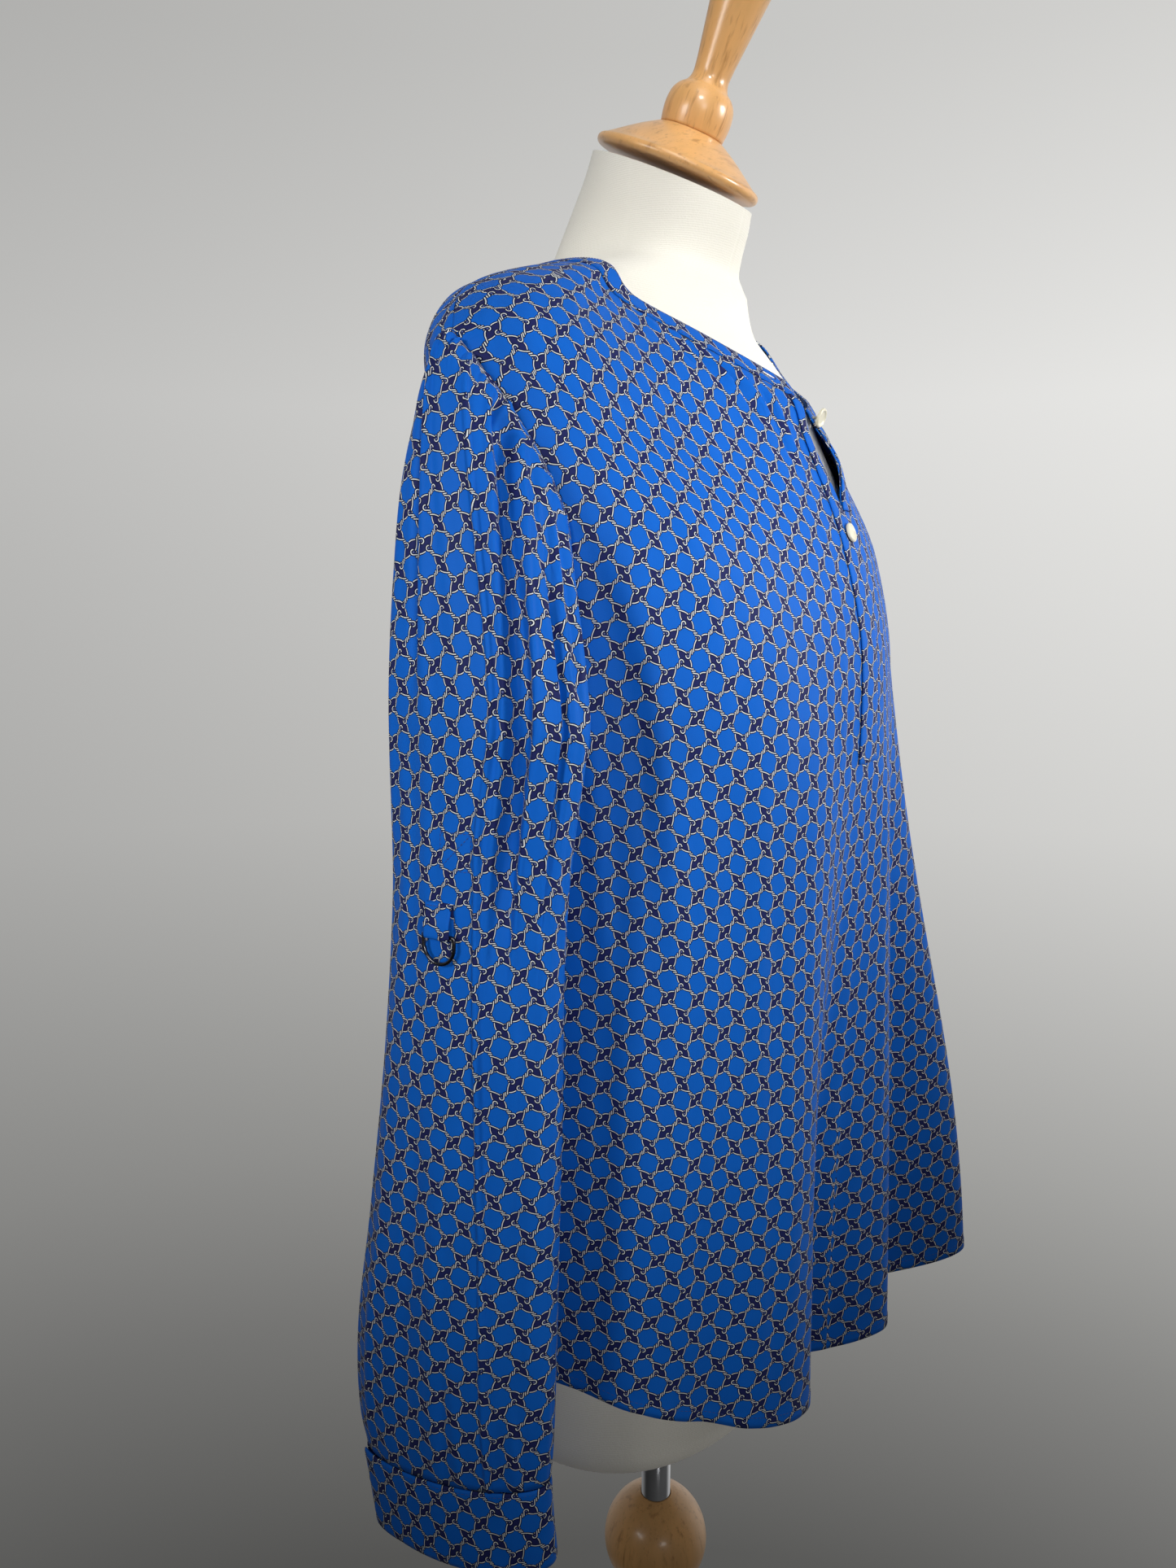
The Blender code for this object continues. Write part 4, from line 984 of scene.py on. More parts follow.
def build_cuff(side, label, material, thread):
    """Cuff: a doubled strip round the wrist whose ends do not quite meet."""
    turn = np.linspace(-62.0, 290.0, 177)
    drop = np.linspace(CUFF_SEAM_DROP + 0.0004, CUFF_HEM_DROP, 23)
    spread = 0.0024 * np.maximum(0.0, 1.0 - (turn + 62.0) / 30.0)
    share = (drop - drop[0]) / (drop[-1] - drop[0])
    edge = np.minimum(share, 1.0 - share) * 0.047
    puff = 0.0005 * (1.0 - bell(edge, 0.0018))
    wave = 0.0006 * np.sin(np.radians(turn) * 3.0 + 0.6)[None, :] * share[:, None] ** 1.5
    pucker = 0.00014 * np.sin(turn * 1.9)[None, :] * bell(edge - 0.003, 0.002)[:, None]
    base = sleeve_ring(side, drop[:, None], turn[None, :])
    outer = sleeve_ring(side, drop[:, None], turn[None, :], 1.0)
    normal = unit(outer - base)
    out = 0.0004 + spread[None, :] + puff[:, None] + wave + pucker
    grid = base + normal * out[..., None]
    uv = flat_places(run_length(grid[0]) + 0.013, drop[:, None])
    if side > 0:
        uv = uv * (-1.0, 1.0)
    item = add_cloth("cuff_" + label, grid, uv, normal, material, CUFF_THICK)
    low = edge_line(grid, normal, 0.0050, 0.0010)
    high = edge_line(grid[::-1], normal[::-1], 0.0022, 0.0010)
    add_stitches("cuff_" + label + "_hem_stitches", low, normal[-2], thread)
    add_stitches("cuff_" + label + "_seam_stitches", high, normal[1], thread)
    slot = int(np.argmin(np.abs(turn - CUFF_HOLE_TURN)))
    across = unit(grid[11, slot - 1] - grid[11, slot + 1])
    add_buttonhole("cuff_" + label + "_buttonhole", grid[11, slot], normal[11, slot], across, 0.0011, thread)


# ---------------------------------------------------------------- tabs and rings
def sleeve_surface(side, turn, drop, out):
    """Point outside the sleeve's wall and the outward direction there."""
    p = sleeve_ring(side, np.float64(drop), np.float64(turn))
    deep = float(along(SLEEVES, 3, np.float64(drop)))
    wide = float(along(SLEEVES, 4, np.float64(drop)))
    a = math.radians(turn)
    normal = Vector((side * math.cos(a) / deep, -math.sin(a) / wide, 0.0)).normalized()
    return Vector(p) + normal * out, normal


def tab_frame(side):
    """Frame on the sleeve's outer face at the ring's bar: X out, Y along the bar."""
    p, normal = sleeve_surface(side, -4.0, RING_BAR_DROP, CLOTH + 0.0020)
    z = Vector(UPRIGHT)
    y = z.cross(normal).normalized()
    place = Matrix((normal, y, z)).transposed().to_4x4()
    place.translation = p
    return place


def build_tab(side, label, material, thread):
    """Cloth tab folded round the ring's bar and stitched to the sleeve."""
    place = tab_frame(side)
    inner = RING_WIRE / 2.0 + 0.0007
    rise = RING_BAR_DROP - TAB_TOP_DROP
    path = [(-inner, rise * t) for t in (1.0, 0.8, 0.6, 0.4, 0.2)]
    path += [(inner * math.cos(math.radians(a)), inner * math.sin(math.radians(a)))
             for a in range(180, 361, 12)]
    path += [(inner * 0.98, rise * 0.12), (inner * 0.9, rise * 0.35), (inner * 0.45, rise * 0.55),
             (-0.0002, rise * 0.75), (-0.0004, rise * 0.88), (-0.0004, rise)]
    shares = np.linspace(-0.5, 0.5, 15)
    grid = np.array([[tuple(place @ Vector((x, TAB_WIDTH * s, z))) for s in shares] for x, z in path])
    uv = flat_places(shares * TAB_WIDTH, -run_length(grid[:, 7])[:, None])
    outward = grid * 0.0 + np.array(place.col[0][:3])
    outward[: len(path) // 3] *= -1.0
    item = add_cloth("tab_" + label, grid, uv + (0.004, 0.003), outward, material, BAND_THICK)
    half = TAB_WIDTH / 2.0 - 0.0014
    for k, level in enumerate((rise - 0.0015, rise * 0.52)):
        bulge = 0.0004 if k == 0 else 0.0012
        row = np.array([place @ Vector((bulge, y, level)) for y in np.linspace(-half, half, 12)])
        up = np.broadcast_to(np.array(place.col[0][:3]), row.shape)
        add_stitches("tab_%s_stitches_%d" % (label, k), row, up, thread, 0.0013, 0.00020)


def build_ring(side, label, material):
    """Round-wire D ring hanging from its bar in the tab."""
    place = tab_frame(side)
    radius = RING_WIDTH / 2.0 - RING_WIRE / 2.0
    points = [(y, 0.0) for y in np.linspace(-radius + 0.0006, radius - 0.0006, 7)]
    points += [(radius - 0.0002, -0.0001), (radius, -0.0006), (radius, -0.0030)]
    for i in range(1, 24):
        a = math.radians(-180.0 * i / 24)
        points.append((radius * math.cos(a), -0.0048 + radius * math.sin(a) * 1.02))
    points += [(-radius, -0.0030), (-radius, -0.0006), (-radius + 0.0002, -0.0001)]
    curve = bpy.data.curves.new("ring_" + label, "CURVE")
    curve.dimensions = "3D"
    curve.bevel_depth = RING_WIRE / 2.0
    curve.bevel_resolution = 5
    line = curve.splines.new("POLY")
    line.points.add(len(points) - 1)
    for point, (y, z) in zip(line.points, points):
        point.co = (0.0, y, z, 1.0)
    line.use_cyclic_u = True
    line.use_smooth = True
    curve.transform(place)
    node = "d_ring_" + label
    add_piece(node + "_metal", curve, material, "ring_" + label, (node,))


# ---------------------------------------------------------------- turned pieces
def turned(name, profile, material, nodes, steps=96, place=None, body=GARMENT):
    """Turned piece: a profile of (radius, height) from top to bottom, screwed round."""
    mesh = bpy.data.meshes.new(name)
    edges = [(i, i + 1) for i in range(len(profile) - 1)]
    mesh.from_pydata([(r, 0.0, z) for r, z in profile], edges, [])
    item = add_piece(name, mesh, material, body, nodes)
    screw = item.modifiers.new("turn", "SCREW")
    screw.steps = steps
    screw.render_steps = steps
    screw.use_merge_vertices = True
    screw.merge_threshold = 0.00001
    screw.use_smooth_shade = True
    if place is not None:
        item.matrix_world = place
    return item


def arc(centre_r, centre_z, radius, start, end, count):
    """Points of a turned bead between two angles, in degrees from the horizontal."""
    angles = np.radians(np.linspace(start, end, count + 1))
    return [(centre_r + radius * math.cos(a), centre_z + radius * math.sin(a)) for a in angles]


def rounded(points, divisions=5):
    """Smooth curve through the points of a profile."""
    p = np.array(points)
    run = run_length(p)
    steps = [np.linspace(a, b, divisions + 1) for a, b in zip(run[:-1], run[1:])]
    fine = np.unique(np.concatenate(steps))
    table = np.column_stack((run, p))
    return list(zip(along(table, 1, fine), along(table, 2, fine)))


def cap_place():
    """Frame of the wooden cap, tipped forward on the neck."""
    return Matrix.Translation((0.0, CAP_Y, CAP_Z)) @ Matrix.Rotation(CAP_TILT, 4, "X")


def build_stand(wood, end_grain, chrome):
    """Wooden neck cap with its finial, chrome pole, turned column and round base."""
    cap = [(0.0, 0.0245), (0.0200, 0.0245)]
    cap += rounded([(0.0200, 0.0245), (0.0300, 0.0190), (0.0490, 0.0066)])[1:]
    cap += arc(0.0485, 0.0038, 0.0030, 60.0, -80.0, 12)
    cap += [(0.0470, 0.0006), (0.0, 0.0006)]
    turned("neck_cap_wood", cap, end_grain, ("neck_cap",), 96, cap_place())
    crown = [(0.0, 0.1500), (0.0060, 0.1498), (0.0110, 0.1490), (0.0175, 0.1450), (0.0210, 0.1380)]
    crown += [(0.0213, 0.1300), (0.0195, 0.1170), (0.0160, 0.0930), (0.0130, 0.0720)]
    crown += [(0.0114, 0.0600), (0.0112, 0.0540), (0.0128, 0.0500), (0.0165, 0.0470)]
    crown += [(0.0193, 0.0430), (0.0206, 0.0370), (0.0205, 0.0310), (0.0196, 0.0250)]
    finial = rounded(crown) + [(0.0192, 0.0248), (0.0, 0.0248)]
    turned("finial_wood", finial, wood, ("finial",), 96, cap_place())
    top = NECK_POINT_Z - 0.7113
    pole = [(0.0, top), (POLE_RADIUS, top), (POLE_RADIUS, 0.300), (0.0, 0.300)]
    item = turned("pole_chrome", pole, chrome, ("pole",), 64)
    item.data.set_sharp_from_angle(angle=CORNER_ANGLE)
    bore = POLE_RADIUS + 0.0004
    column = [(0.0, 0.2950), (bore, 0.2950), (bore, BALL_Z + 0.0355)]
    column += arc(0.0, BALL_Z, BALL_RADIUS, 72.0, -52.0, 36)
    column += [(0.0215, BALL_Z - 0.0320), (0.0215, BALL_Z - 0.0360)]
    column += arc(0.0180, BALL_Z - 0.0520, 0.0160, 75.0, -75.0, 18)
    column += rounded([(0.0200, BALL_Z - 0.0700), (0.0195, 0.440), (0.0210, 0.300), (0.0240, 0.160),
                       (0.0250, 0.110), (0.0330, 0.100)])
    column += arc(0.0300, 0.088, 0.0110, 70.0, -70.0, 14)
    column += [(0.0300, 0.0765), (0.0300, 0.0283), (0.0, 0.0283)]
    turned("column_wood", column, wood, ("column",), 96)
    base = [(0.0, 0.0280), (0.0600, 0.0280)]
    base += rounded([(0.0600, 0.0280), (0.1500, 0.0215), (BASE_RADIUS - 0.006, 0.0180)])[1:]
    base += arc(BASE_RADIUS - 0.006, 0.0120, 0.0060, 80.0, 0.0, 10)
    base += [(BASE_RADIUS, 0.0030), (BASE_RADIUS - 0.003, 0.0), (0.0, 0.0)]
    turned("base_wood", base, end_grain, ("base",), 128)


def build_form(material):
    """Jersey-covered torso of the dress form with its neck and seams."""
    angle = np.linspace(0.0, 360.0, 193)[:-1]
    neck = np.array(NECK)
    rise = np.linspace(neck[0, 0], neck[-1, 0], 26)
    order = neck[::-1]
    rings = []
    for r in rise:
        half, front, back, slope = (along(order, k, r) for k in (1, 2, 3, 4))
        x, y = oval(half, front, back, 2.0, 0.0, angle)
        rings.append(np.stack((x, y, NECK_POINT_Z + r + slope * y), -1))
    drops = np.concatenate((np.linspace(0.006, 0.130, 46), np.linspace(0.134, 0.675, 120)))
    for drop in drops:
        x, y = body_oval(FORM_COLUMNS, drop, angle)[:2]
        rings.append(np.stack((x, y + hollow(angle, drop), np.full_like(x, NECK_POINT_Z - drop)), -1))
    x, y = body_oval(FORM_COLUMNS, 0.68, angle)[:2]
    under = rounded([(1.0, 0.683), (0.985, 0.692), (0.94, 0.703), (0.86, 0.709), (0.72, 0.711)], 4)
    for shrink, drop in under:
        rings.append(np.stack((x * shrink, y * shrink, np.full_like(x, NECK_POINT_Z - drop)), -1))
    grid = np.array(rings)
    groove = np.zeros(len(angle))
    for seam in (0.0, 90.0, 180.0, 270.0):
        groove -= 0.0005 * bell(turn_from(seam, angle), 0.7)
    outward = unit(grid * (1.0, 1.0, 0.0))
    grid = grid + outward * groove[None, :, None]
    verts, faces = [], []
    add_tube(verts, faces, grid)
    mesh = new_mesh("form_jersey", verts, faces)
    shape = bmesh.new()
    shape.from_mesh(mesh)
    bmesh.ops.recalc_face_normals(shape, faces=shape.faces)
    shape.to_mesh(mesh)
    shape.free()
    mesh.set_sharp_from_angle(angle=CORNER_ANGLE)
    add_piece("form_jersey", mesh, material, nodes=("form_torso",))


# ---------------------------------------------------------------- trims
def button_profile(radius):
    """Turned button with a raised rim and a dished middle."""
    rim = [(0.0, 0.0016), (radius * 0.50, 0.0016), (radius * 0.64, 0.0018), (radius * 0.74, 0.0022),
           (radius * 0.84, 0.0024), (radius * 0.94, 0.0021), (radius, 0.0014), (radius * 0.97, 0.0007),
           (radius * 0.70, 0.0001)]
    return rounded(rim, 4) + [(radius * 0.68, 0.0), (0.0, 0.0)]


def place_on(point, normal):
    """Frame that lays a piece's back on a point of the cloth."""
    turn = normal.to_track_quat("Z", "Y").to_matrix().to_4x4()
    return Matrix.Translation(point) @ turn


def add_stitches(name, points, normals, material, length=STITCH_LENGTH, radius=STITCH_RADIUS):
    """Row of short stitches along a path, each a slim closed body."""
    run = run_length(points)
    pitch = length * 1.45
    verts, faces = [], []
    for start in np.arange(int(run[-1] / pitch)) * pitch:
        ends = np.array((start, start + length))
        where = points_at(ends, run, points)
        up = unit(points_at(start, run, normals))
        axis = unit(where[1] - where[0])
        side = unit(np.cross(axis, up))
        rings = []
        for t, size in ((0.0, 0.35), (0.2, 0.95), (0.8, 0.95), (1.0, 0.35)):
            centre = blend(where[0], where[1], t)
            rings.append(ring_round(centre, side * radius * size, up * radius * size * 0.8, 6))
        add_tube(verts, faces, rings)
    add_piece(name, new_mesh(name, verts, faces), material)


def points_at(where, run, points):
    """Points of a line at running distances along it."""
    return np.stack([np.interp(where, run, points[:, c]) for c in range(3)], -1)


def edge_line(grid, normal, inset, rise):
    """Line at a fixed inset from a grid's last row, raised off the cloth."""
    run = running(lengths(grid[::-1]))
    points = [points_at(inset, run[:, j], grid[::-1, j]) for j in range(grid.shape[1])]
    return np.array(points) + normal[-2] * rise


def add_buttonhole(name, centre, normal, along_slot, rise, material, half_length=0.0058):
    """Worked buttonhole: close stitches round a narrow slot."""
    across = unit(np.cross(normal, along_slot))
    verts, faces = [], []
    for a in np.radians(np.arange(44) * 360.0 / 44):
        reach = np.sign(math.cos(a)) * half_length * min(1.0, abs(math.cos(a)) * 3.0)
        middle = centre + along_slot * reach + across * math.sin(a) * 0.0009 + normal * rise
        out = unit(across * math.sin(a) + along_slot * math.cos(a) * 0.4)
        step = unit(np.cross(out, normal))
        rings = []
        for t, size in ((-1.0, 0.4), (0.0, 1.0), (1.0, 0.4)):
            thick = 0.00022 * size
            rings.append(ring_round(middle + out * t * 0.0005, -step * thick, normal * thick, 4))
        add_tube(verts, faces, rings)
    add_piece(name, new_mesh(name, verts, faces), material)


def add_slot(name, centre, normal, along_slot):
    """Pale lens of what shows through a buttonhole."""
    across = unit(np.cross(normal, along_slot))
    angles = np.radians(np.linspace(0.0, 360.0, 33)[:-1])
    rim = [centre + along_slot * math.cos(a) * 0.0046 + across * math.sin(a) * 0.0008 for a in angles]
    verts = [tuple(centre + normal * 0.0003)] + [tuple(p) for p in rim]
    faces = [(0, 1 + k, 1 + (k + 1) % 32) for k in range(32)]
    cream = plain_material("cream_slot", SLOT_TINT, 0.8, 300.0, 0.1)
    add_piece(name, new_mesh(name, verts, faces), cream)


def sleeve_line(side, places, rise, table):
    """Points on the outside of a sleeve between places of turn and drop, and their normals."""
    points = []
    normals = []
    for (turn0, drop0), (turn1, drop1) in zip(places[:-1], places[1:]):
        for t in np.linspace(0.0, 1.0, 14):
            turn = blend(turn0, turn1, t)
            drop = blend(drop0, drop1, t)
            p, normal = sleeve_surface(side, turn, drop, 0.0)
            height = creases(table, np.array([turn]), np.array([drop]), SLEEVE_METRES_PER_DEGREE)[0]
            height += ripple(np.array([turn * 0.6]), np.array([drop]), 3.0 + side)[0]
            points.append(p + normal * float(height + 2.0 * LAYER + rise))
            normals.append(normal)
    return np.array(points), np.array(normals)


def build_bar_tack(side, label, table, thread):
    """Stitched box with a cross, where the inner strap is sewn to the sleeve."""
    left, right, top, low = -7.0, 13.0, 0.3000, 0.3190
    box = ((left, top), (right, top), (right, low), (left, low), (left, top))
    for k, path in enumerate((box, ((left, top), (right, low)), ((right, top), (left, low)))):
        points, normals = sleeve_line(side, path, 0.0001, table)
        add_stitches("bar_tack_%s_%d" % (label, k), points, normals, thread, 0.0016, 0.00020)


# ---------------------------------------------------------------- materials
class Shader:
    """The node tree of a material or world, with short ways to add nodes."""

    def __init__(self, name, home=bpy.data.materials, surface="Principled BSDF"):
        self.material = home.new(name)
        self.material.use_nodes = True
        self.tree = self.material.node_tree
        self.surface = self.tree.nodes[surface]

    def add(self, kind, **values):
        """Add a node and set its own values."""
        node = self.tree.nodes.new(kind)
        for key, value in values.items():
            setattr(node, key, value)
        return node

    def put(self, socket, value):
        """Link a socket or set it to a constant."""
        if isinstance(value, bpy.types.NodeSocket):
            self.tree.links.new(value, socket)
        else:
            socket.default_value = value

    def spot(self, system="Object"):
        """Coordinates of the shaded point."""
        return self.add("ShaderNodeTexCoord").outputs[system]

    def parts(self, vector):
        """X, Y and Z of a vector."""
        node = self.add("ShaderNodeSeparateXYZ")
        self.put(node.inputs[0], vector)
        return node.outputs

    def math(self, operation, *values, clamp=False):
        """Result of a calculation with single values."""
        node = self.add("ShaderNodeMath", operation=operation, use_clamp=clamp)
        for socket, value in zip(node.inputs, values):
            self.put(socket, value)
        return node.outputs[0]

    def vector(self, operation, *values, scale=None):
        """Result of a calculation with vectors."""
        node = self.add("ShaderNodeVectorMath", operation=operation)
        for socket, value in zip(node.inputs, values):
            self.put(socket, value)
        if scale is not None:
            self.put(node.inputs["Scale"], scale)
        single = operation in ("DOT_PRODUCT", "DISTANCE")
        return node.outputs["Value" if single else "Vector"]

    def mix(self, factor, first, second):
        """Colour between two others."""
        node = self.add("ShaderNodeMix", data_type="RGBA")
        self.put(node.inputs[0], factor)
        self.put(node.inputs[6], first)
        self.put(node.inputs[7], second)
        return node.outputs[2]

    def step(self, value, low, high, start=0.0):
        """Soft step from the start value at low to 1 at high."""
        node = self.add("ShaderNodeMapRange", interpolation_type="SMOOTHSTEP")
        self.put(node.inputs["Value"], value)
        node.inputs["From Min"].default_value = low
        node.inputs["From Max"].default_value = high
        node.inputs["To Min"].default_value = start
        return node.outputs[0]

    def noise(self, scale, detail, vector, rough=0.5):
        """Cloudy value between 0 and 1."""
        node = self.add("ShaderNodeTexNoise")
        node.inputs["Scale"].default_value = scale
        node.inputs["Detail"].default_value = detail
        node.inputs["Roughness"].default_value = rough
        self.put(node.inputs["Vector"], vector)
        return node.outputs[0]

    def bump(self, height, strength, distance):
        """Normal that a height bends."""
        node = self.add("ShaderNodeBump")
        node.inputs["Strength"].default_value = strength
        node.inputs["Distance"].default_value = distance
        self.put(node.inputs["Height"], height)
        return node.outputs[0]

    def set(self, **values):
        """Set or link the surface's sockets, with underscores for spaces."""
        for key, value in values.items():
            self.put(self.surface.inputs[key.replace("_", " ")], value)


def colour(red, green, blue):
    """Linear colour with full alpha."""
    return (red, green, blue, 1.0)


def stroke_distance(shader, place, stroke):
    """Distance from a place to one straight stroke."""
    ax, ay, bx, by = stroke
    dx, dy = bx - ax, by - ay
    square = dx * dx + dy * dy
    reach = shader.vector("SUBTRACT", place, (ax, ay, 0.0))
    share = shader.vector("DOT_PRODUCT", reach, (dx / square, dy / square, 0.0))
    share = shader.math("ADD", share, 0.0, clamp=True)
    foot = shader.vector("SCALE", (dx, dy, 0.0), scale=share)
    return shader.vector("DISTANCE", reach, foot)


def hook_distance(shader, place):
    """Distance from a place to the hook's half circle."""
    cx, cy = HOOK_CENTRE
    away = shader.vector("DISTANCE", place, (cx, cy, 0.0))
    circle = shader.math("ABSOLUTE", shader.math("SUBTRACT", away, HOOK_RADIUS))
    tip = shader.vector("DISTANCE", place, (cx - HOOK_RADIUS, cy, 0.0))
    above = shader.math("LESS_THAN", shader.parts(place)[1], cy)
    change = shader.math("MULTIPLY", above, shader.math("SUBTRACT", tip, circle))
    return shader.math("ADD", circle, change)


def link_mask(shader, place, centre, turned_link):
    """1 inside the dark link between four ropes."""
    inside = None
    reach = shader.vector("SUBTRACT", place, (centre[0], centre[1], 0.0))
    for nx, ny, size in LINK_SIDES:
        line = (-ny, nx, 0.0) if turned_link else (nx, ny, 0.0)
        away = shader.math("ABSOLUTE", shader.vector("DOT_PRODUCT", reach, line))
        part = shader.math("LESS_THAN", away, size)
        inside = part if inside is None else shader.math("MULTIPLY", inside, part)
    return inside


def rope_print(shader):
    """Colour of the rope trellis, and how white it is, from the flat cut's coordinates."""
    cut = shader.add("ShaderNodeUVMap", uv_map="cut")
    place = shader.vector("SCALE", cut.outputs[0], scale=1.0 / HALF_REPEAT)
    wrapped = shader.vector("WRAP", place, (1.0, 1.0, 1.0), (-1.0, -1.0, -1.0))
    x, y = shader.parts(wrapped)[:2]
    same = shader.math("GREATER_THAN", shader.math("MULTIPLY", x, y), 0.0)
    x = shader.math("ABSOLUTE", x)
    y = shader.math("ABSOLUTE", y)
    first = shader.math("ADD", y, shader.math("MULTIPLY", same, shader.math("SUBTRACT", x, y)))
    second = shader.math("SUBTRACT", shader.math("ADD", x, y), first)
    folded = shader.add("ShaderNodeCombineXYZ")
    shader.put(folded.inputs[0], first)
    shader.put(folded.inputs[1], second)
    spot = folded.outputs[0]
    nearest = hook_distance(shader, spot)
    for stroke in ROPES:
        nearest = shader.math("MINIMUM", nearest, stroke_distance(shader, spot, stroke))
    links = shader.math("MAXIMUM", link_mask(shader, spot, (1.0, 0.0), False),
                        link_mask(shader, spot, (0.0, 1.0), True))
    tone = shader.noise(38.0, 3.0, cut.outputs[0], 0.55)
    blue = shader.mix(tone, colour(*CELL_DEEP), colour(*CELL_CLEAR))
    ground = shader.mix(links, blue, colour(*LINK_TINT))
    outline = shader.step(nearest, OUTLINE_HALF_WIDTH + 0.010, OUTLINE_HALF_WIDTH - 0.010)
    ground = shader.mix(outline, ground, colour(*OUTLINE_TINT))
    bead = shader.vector("DISTANCE", spot, (HOOK_CENTRE[0], HOOK_CENTRE[1] - 0.01, 0.0))
    ground = shader.mix(shader.step(bead, 0.052, 0.036), ground, colour(*BEAD_TINT))
    rope = shader.step(nearest, ROPE_HALF_WIDTH + 0.010, ROPE_HALF_WIDTH - 0.010)
    return shader.mix(rope, ground, colour(*ROPE_TINT)), cut.outputs[0]


def silk_material():
    """Printed crepe silk: soft sheen, fine pebbled weave."""
    shader = Shader("printed_silk")
    shade, cut = rope_print(shader)
    weave = shader.noise(2600.0, 1.0, cut)
    slub = shader.noise(420.0, 2.0, shader.vector("MULTIPLY", cut, (1.0, 0.25, 1.0)))
    height = shader.math("ADD", weave, shader.math("MULTIPLY", slub, 0.6))
    shader.set(Base_Color=shade, Roughness=0.52, Specular_IOR_Level=0.06,
               Normal=shader.bump(height, 0.22, 0.0004))
    shader.set(Sheen_Weight=0.01, Sheen_Roughness=0.35, Sheen_Tint=(0.20, 0.50, 1.0, 1.0))
    return shader.material


def jersey_material():
    """Cream knitted jersey stretched over the form."""
    shader = Shader("cream_jersey")
    spot = shader.spot()
    rib = shader.add("ShaderNodeTexWave", wave_type="BANDS", bands_direction="Z")
    rib.inputs["Scale"].default_value = 260.0
    rib.inputs["Distortion"].default_value = 1.6
    rib.inputs["Detail"].default_value = 1.0
    shader.put(rib.inputs["Vector"], spot)
    fuzz = shader.noise(900.0, 2.0, spot)
    height = shader.math("ADD", shader.math("MULTIPLY", rib.outputs["Fac"], 0.5), fuzz)
    soil = shader.noise(9.0, 4.0, spot)
    shade = shader.mix(soil, colour(*JERSEY_SOILED), colour(*JERSEY_CLEAN))
    shader.set(Base_Color=shade, Roughness=0.92, Specular_IOR_Level=0.25,
               Normal=shader.bump(height, 0.35, 0.0006))
    shader.set(Sheen_Weight=0.25, Sheen_Roughness=0.6)
    return shader.material


def wood_material(name, stretch_axis, tint):
    """Honey beech under clear varnish, its grain along one axis."""
    shader = Shader(name)
    spot = shader.spot()
    wide = shader.vector("MULTIPLY", spot, stretch_axis)
    grain = shader.noise(60.0, 5.0, wide, 0.62)
    streak = shader.noise(210.0, 3.0, wide, 0.7)
    fleck = shader.noise(520.0, 1.0, wide)
    light = tuple(c * 1.16 for c in tint)
    dark = tuple(c * f for c, f in zip(tint, (0.74, 0.66, 0.58)))
    shade = shader.mix(shader.step(grain, 0.35, 0.68), colour(*light), colour(*tint))
    shade = shader.mix(shader.step(streak, 0.52, 0.74), shade, colour(*dark))
    shade = shader.mix(shader.math("MULTIPLY", shader.step(fleck, 0.62, 0.75), 0.5), shade, colour(*dark))
    rough = shader.math("MULTIPLY_ADD", grain, 0.12, 0.27)
    shader.set(Base_Color=shade, Roughness=rough, Normal=shader.bump(streak, 0.12, 0.0004))
    shader.set(Coat_Weight=0.35, Coat_Roughness=0.16)
    return shader.material


def metal_material(name, tint, rough, scratch):
    """Plated metal with faint wear."""
    shader = Shader(name)
    spot = shader.spot()
    wear = shader.noise(scratch, 4.0, spot)
    shade = shader.mix(wear, colour(*tint), colour(*(c * 0.8 for c in tint)))
    level = shader.math("MULTIPLY_ADD", wear, 0.10, rough)
    shader.set(Base_Color=shade, Metallic=1.0, Roughness=level)
    return shader.material


def plain_material(name, tint, rough, scale, spread):
    """Small trims: one colour with a slight cloudiness."""
    shader = Shader(name)
    spot = shader.spot()
    cloud = shader.noise(scale, 3.0, spot)
    shade = shader.mix(cloud, colour(*(c * (1.0 - spread) for c in tint)), colour(*tint))
    shader.set(Base_Color=shade, Roughness=rough)
    return shader.material


# ---------------------------------------------------------------- stage
def build_stage():
    """Pale floor, wall-grey surroundings and soft lights."""
    mesh = bpy.data.meshes.new("floor")
    shape = bmesh.new()
    bmesh.ops.create_circle(shape, cap_ends=True, segments=96, radius=FLOOR_RADIUS)
    shape.to_mesh(mesh)
    shape.free()
    floor = new_object("floor", mesh)
    mesh.materials.append(plain_material("pale_floor", FLOOR_TINT, 0.7, 6.0, 0.06))
    build_surroundings()
    for light in LIGHTS:
        add_light(*light)


def build_surroundings():
    """Wall-grey surroundings: brightest at eye level, darker below and behind the camera."""
    shader = Shader("studio", bpy.data.worlds, "Background")
    spot = shader.spot("Generated")
    ramp = shader.add("ShaderNodeValToRGB")
    shader.put(ramp.inputs[0], shader.math("MULTIPLY_ADD", shader.parts(spot)[2], 0.5, 0.5))
    stops = ramp.color_ramp.elements
    for place, level in WALL_LEVELS[2:]:
        stops.new(0.5 + 0.5 * place)
    for stop, (place, level) in zip(stops, WALL_LEVELS):
        stop.position = 0.5 + 0.5 * place
        stop.color = (level, level * 0.995, level * (0.955 + 0.03 * level), 1.0)
    turn = math.radians(CAMERA_TURN)
    across = shader.vector("DOT_PRODUCT", spot, (math.sin(turn), -math.cos(turn), 0.0))
    ahead = shader.vector("DOT_PRODUCT", spot, (math.cos(turn), math.sin(turn), 0.0))
    dim = shader.step(ahead, -0.3, 0.55, ROOM_BEHIND)
    side = shader.math("MULTIPLY_ADD", across, 0.50, 1.0)
    shader.set(Color=ramp.outputs[0], Strength=shader.math("MULTIPLY", dim, side))
    bpy.context.scene.world = shader.material


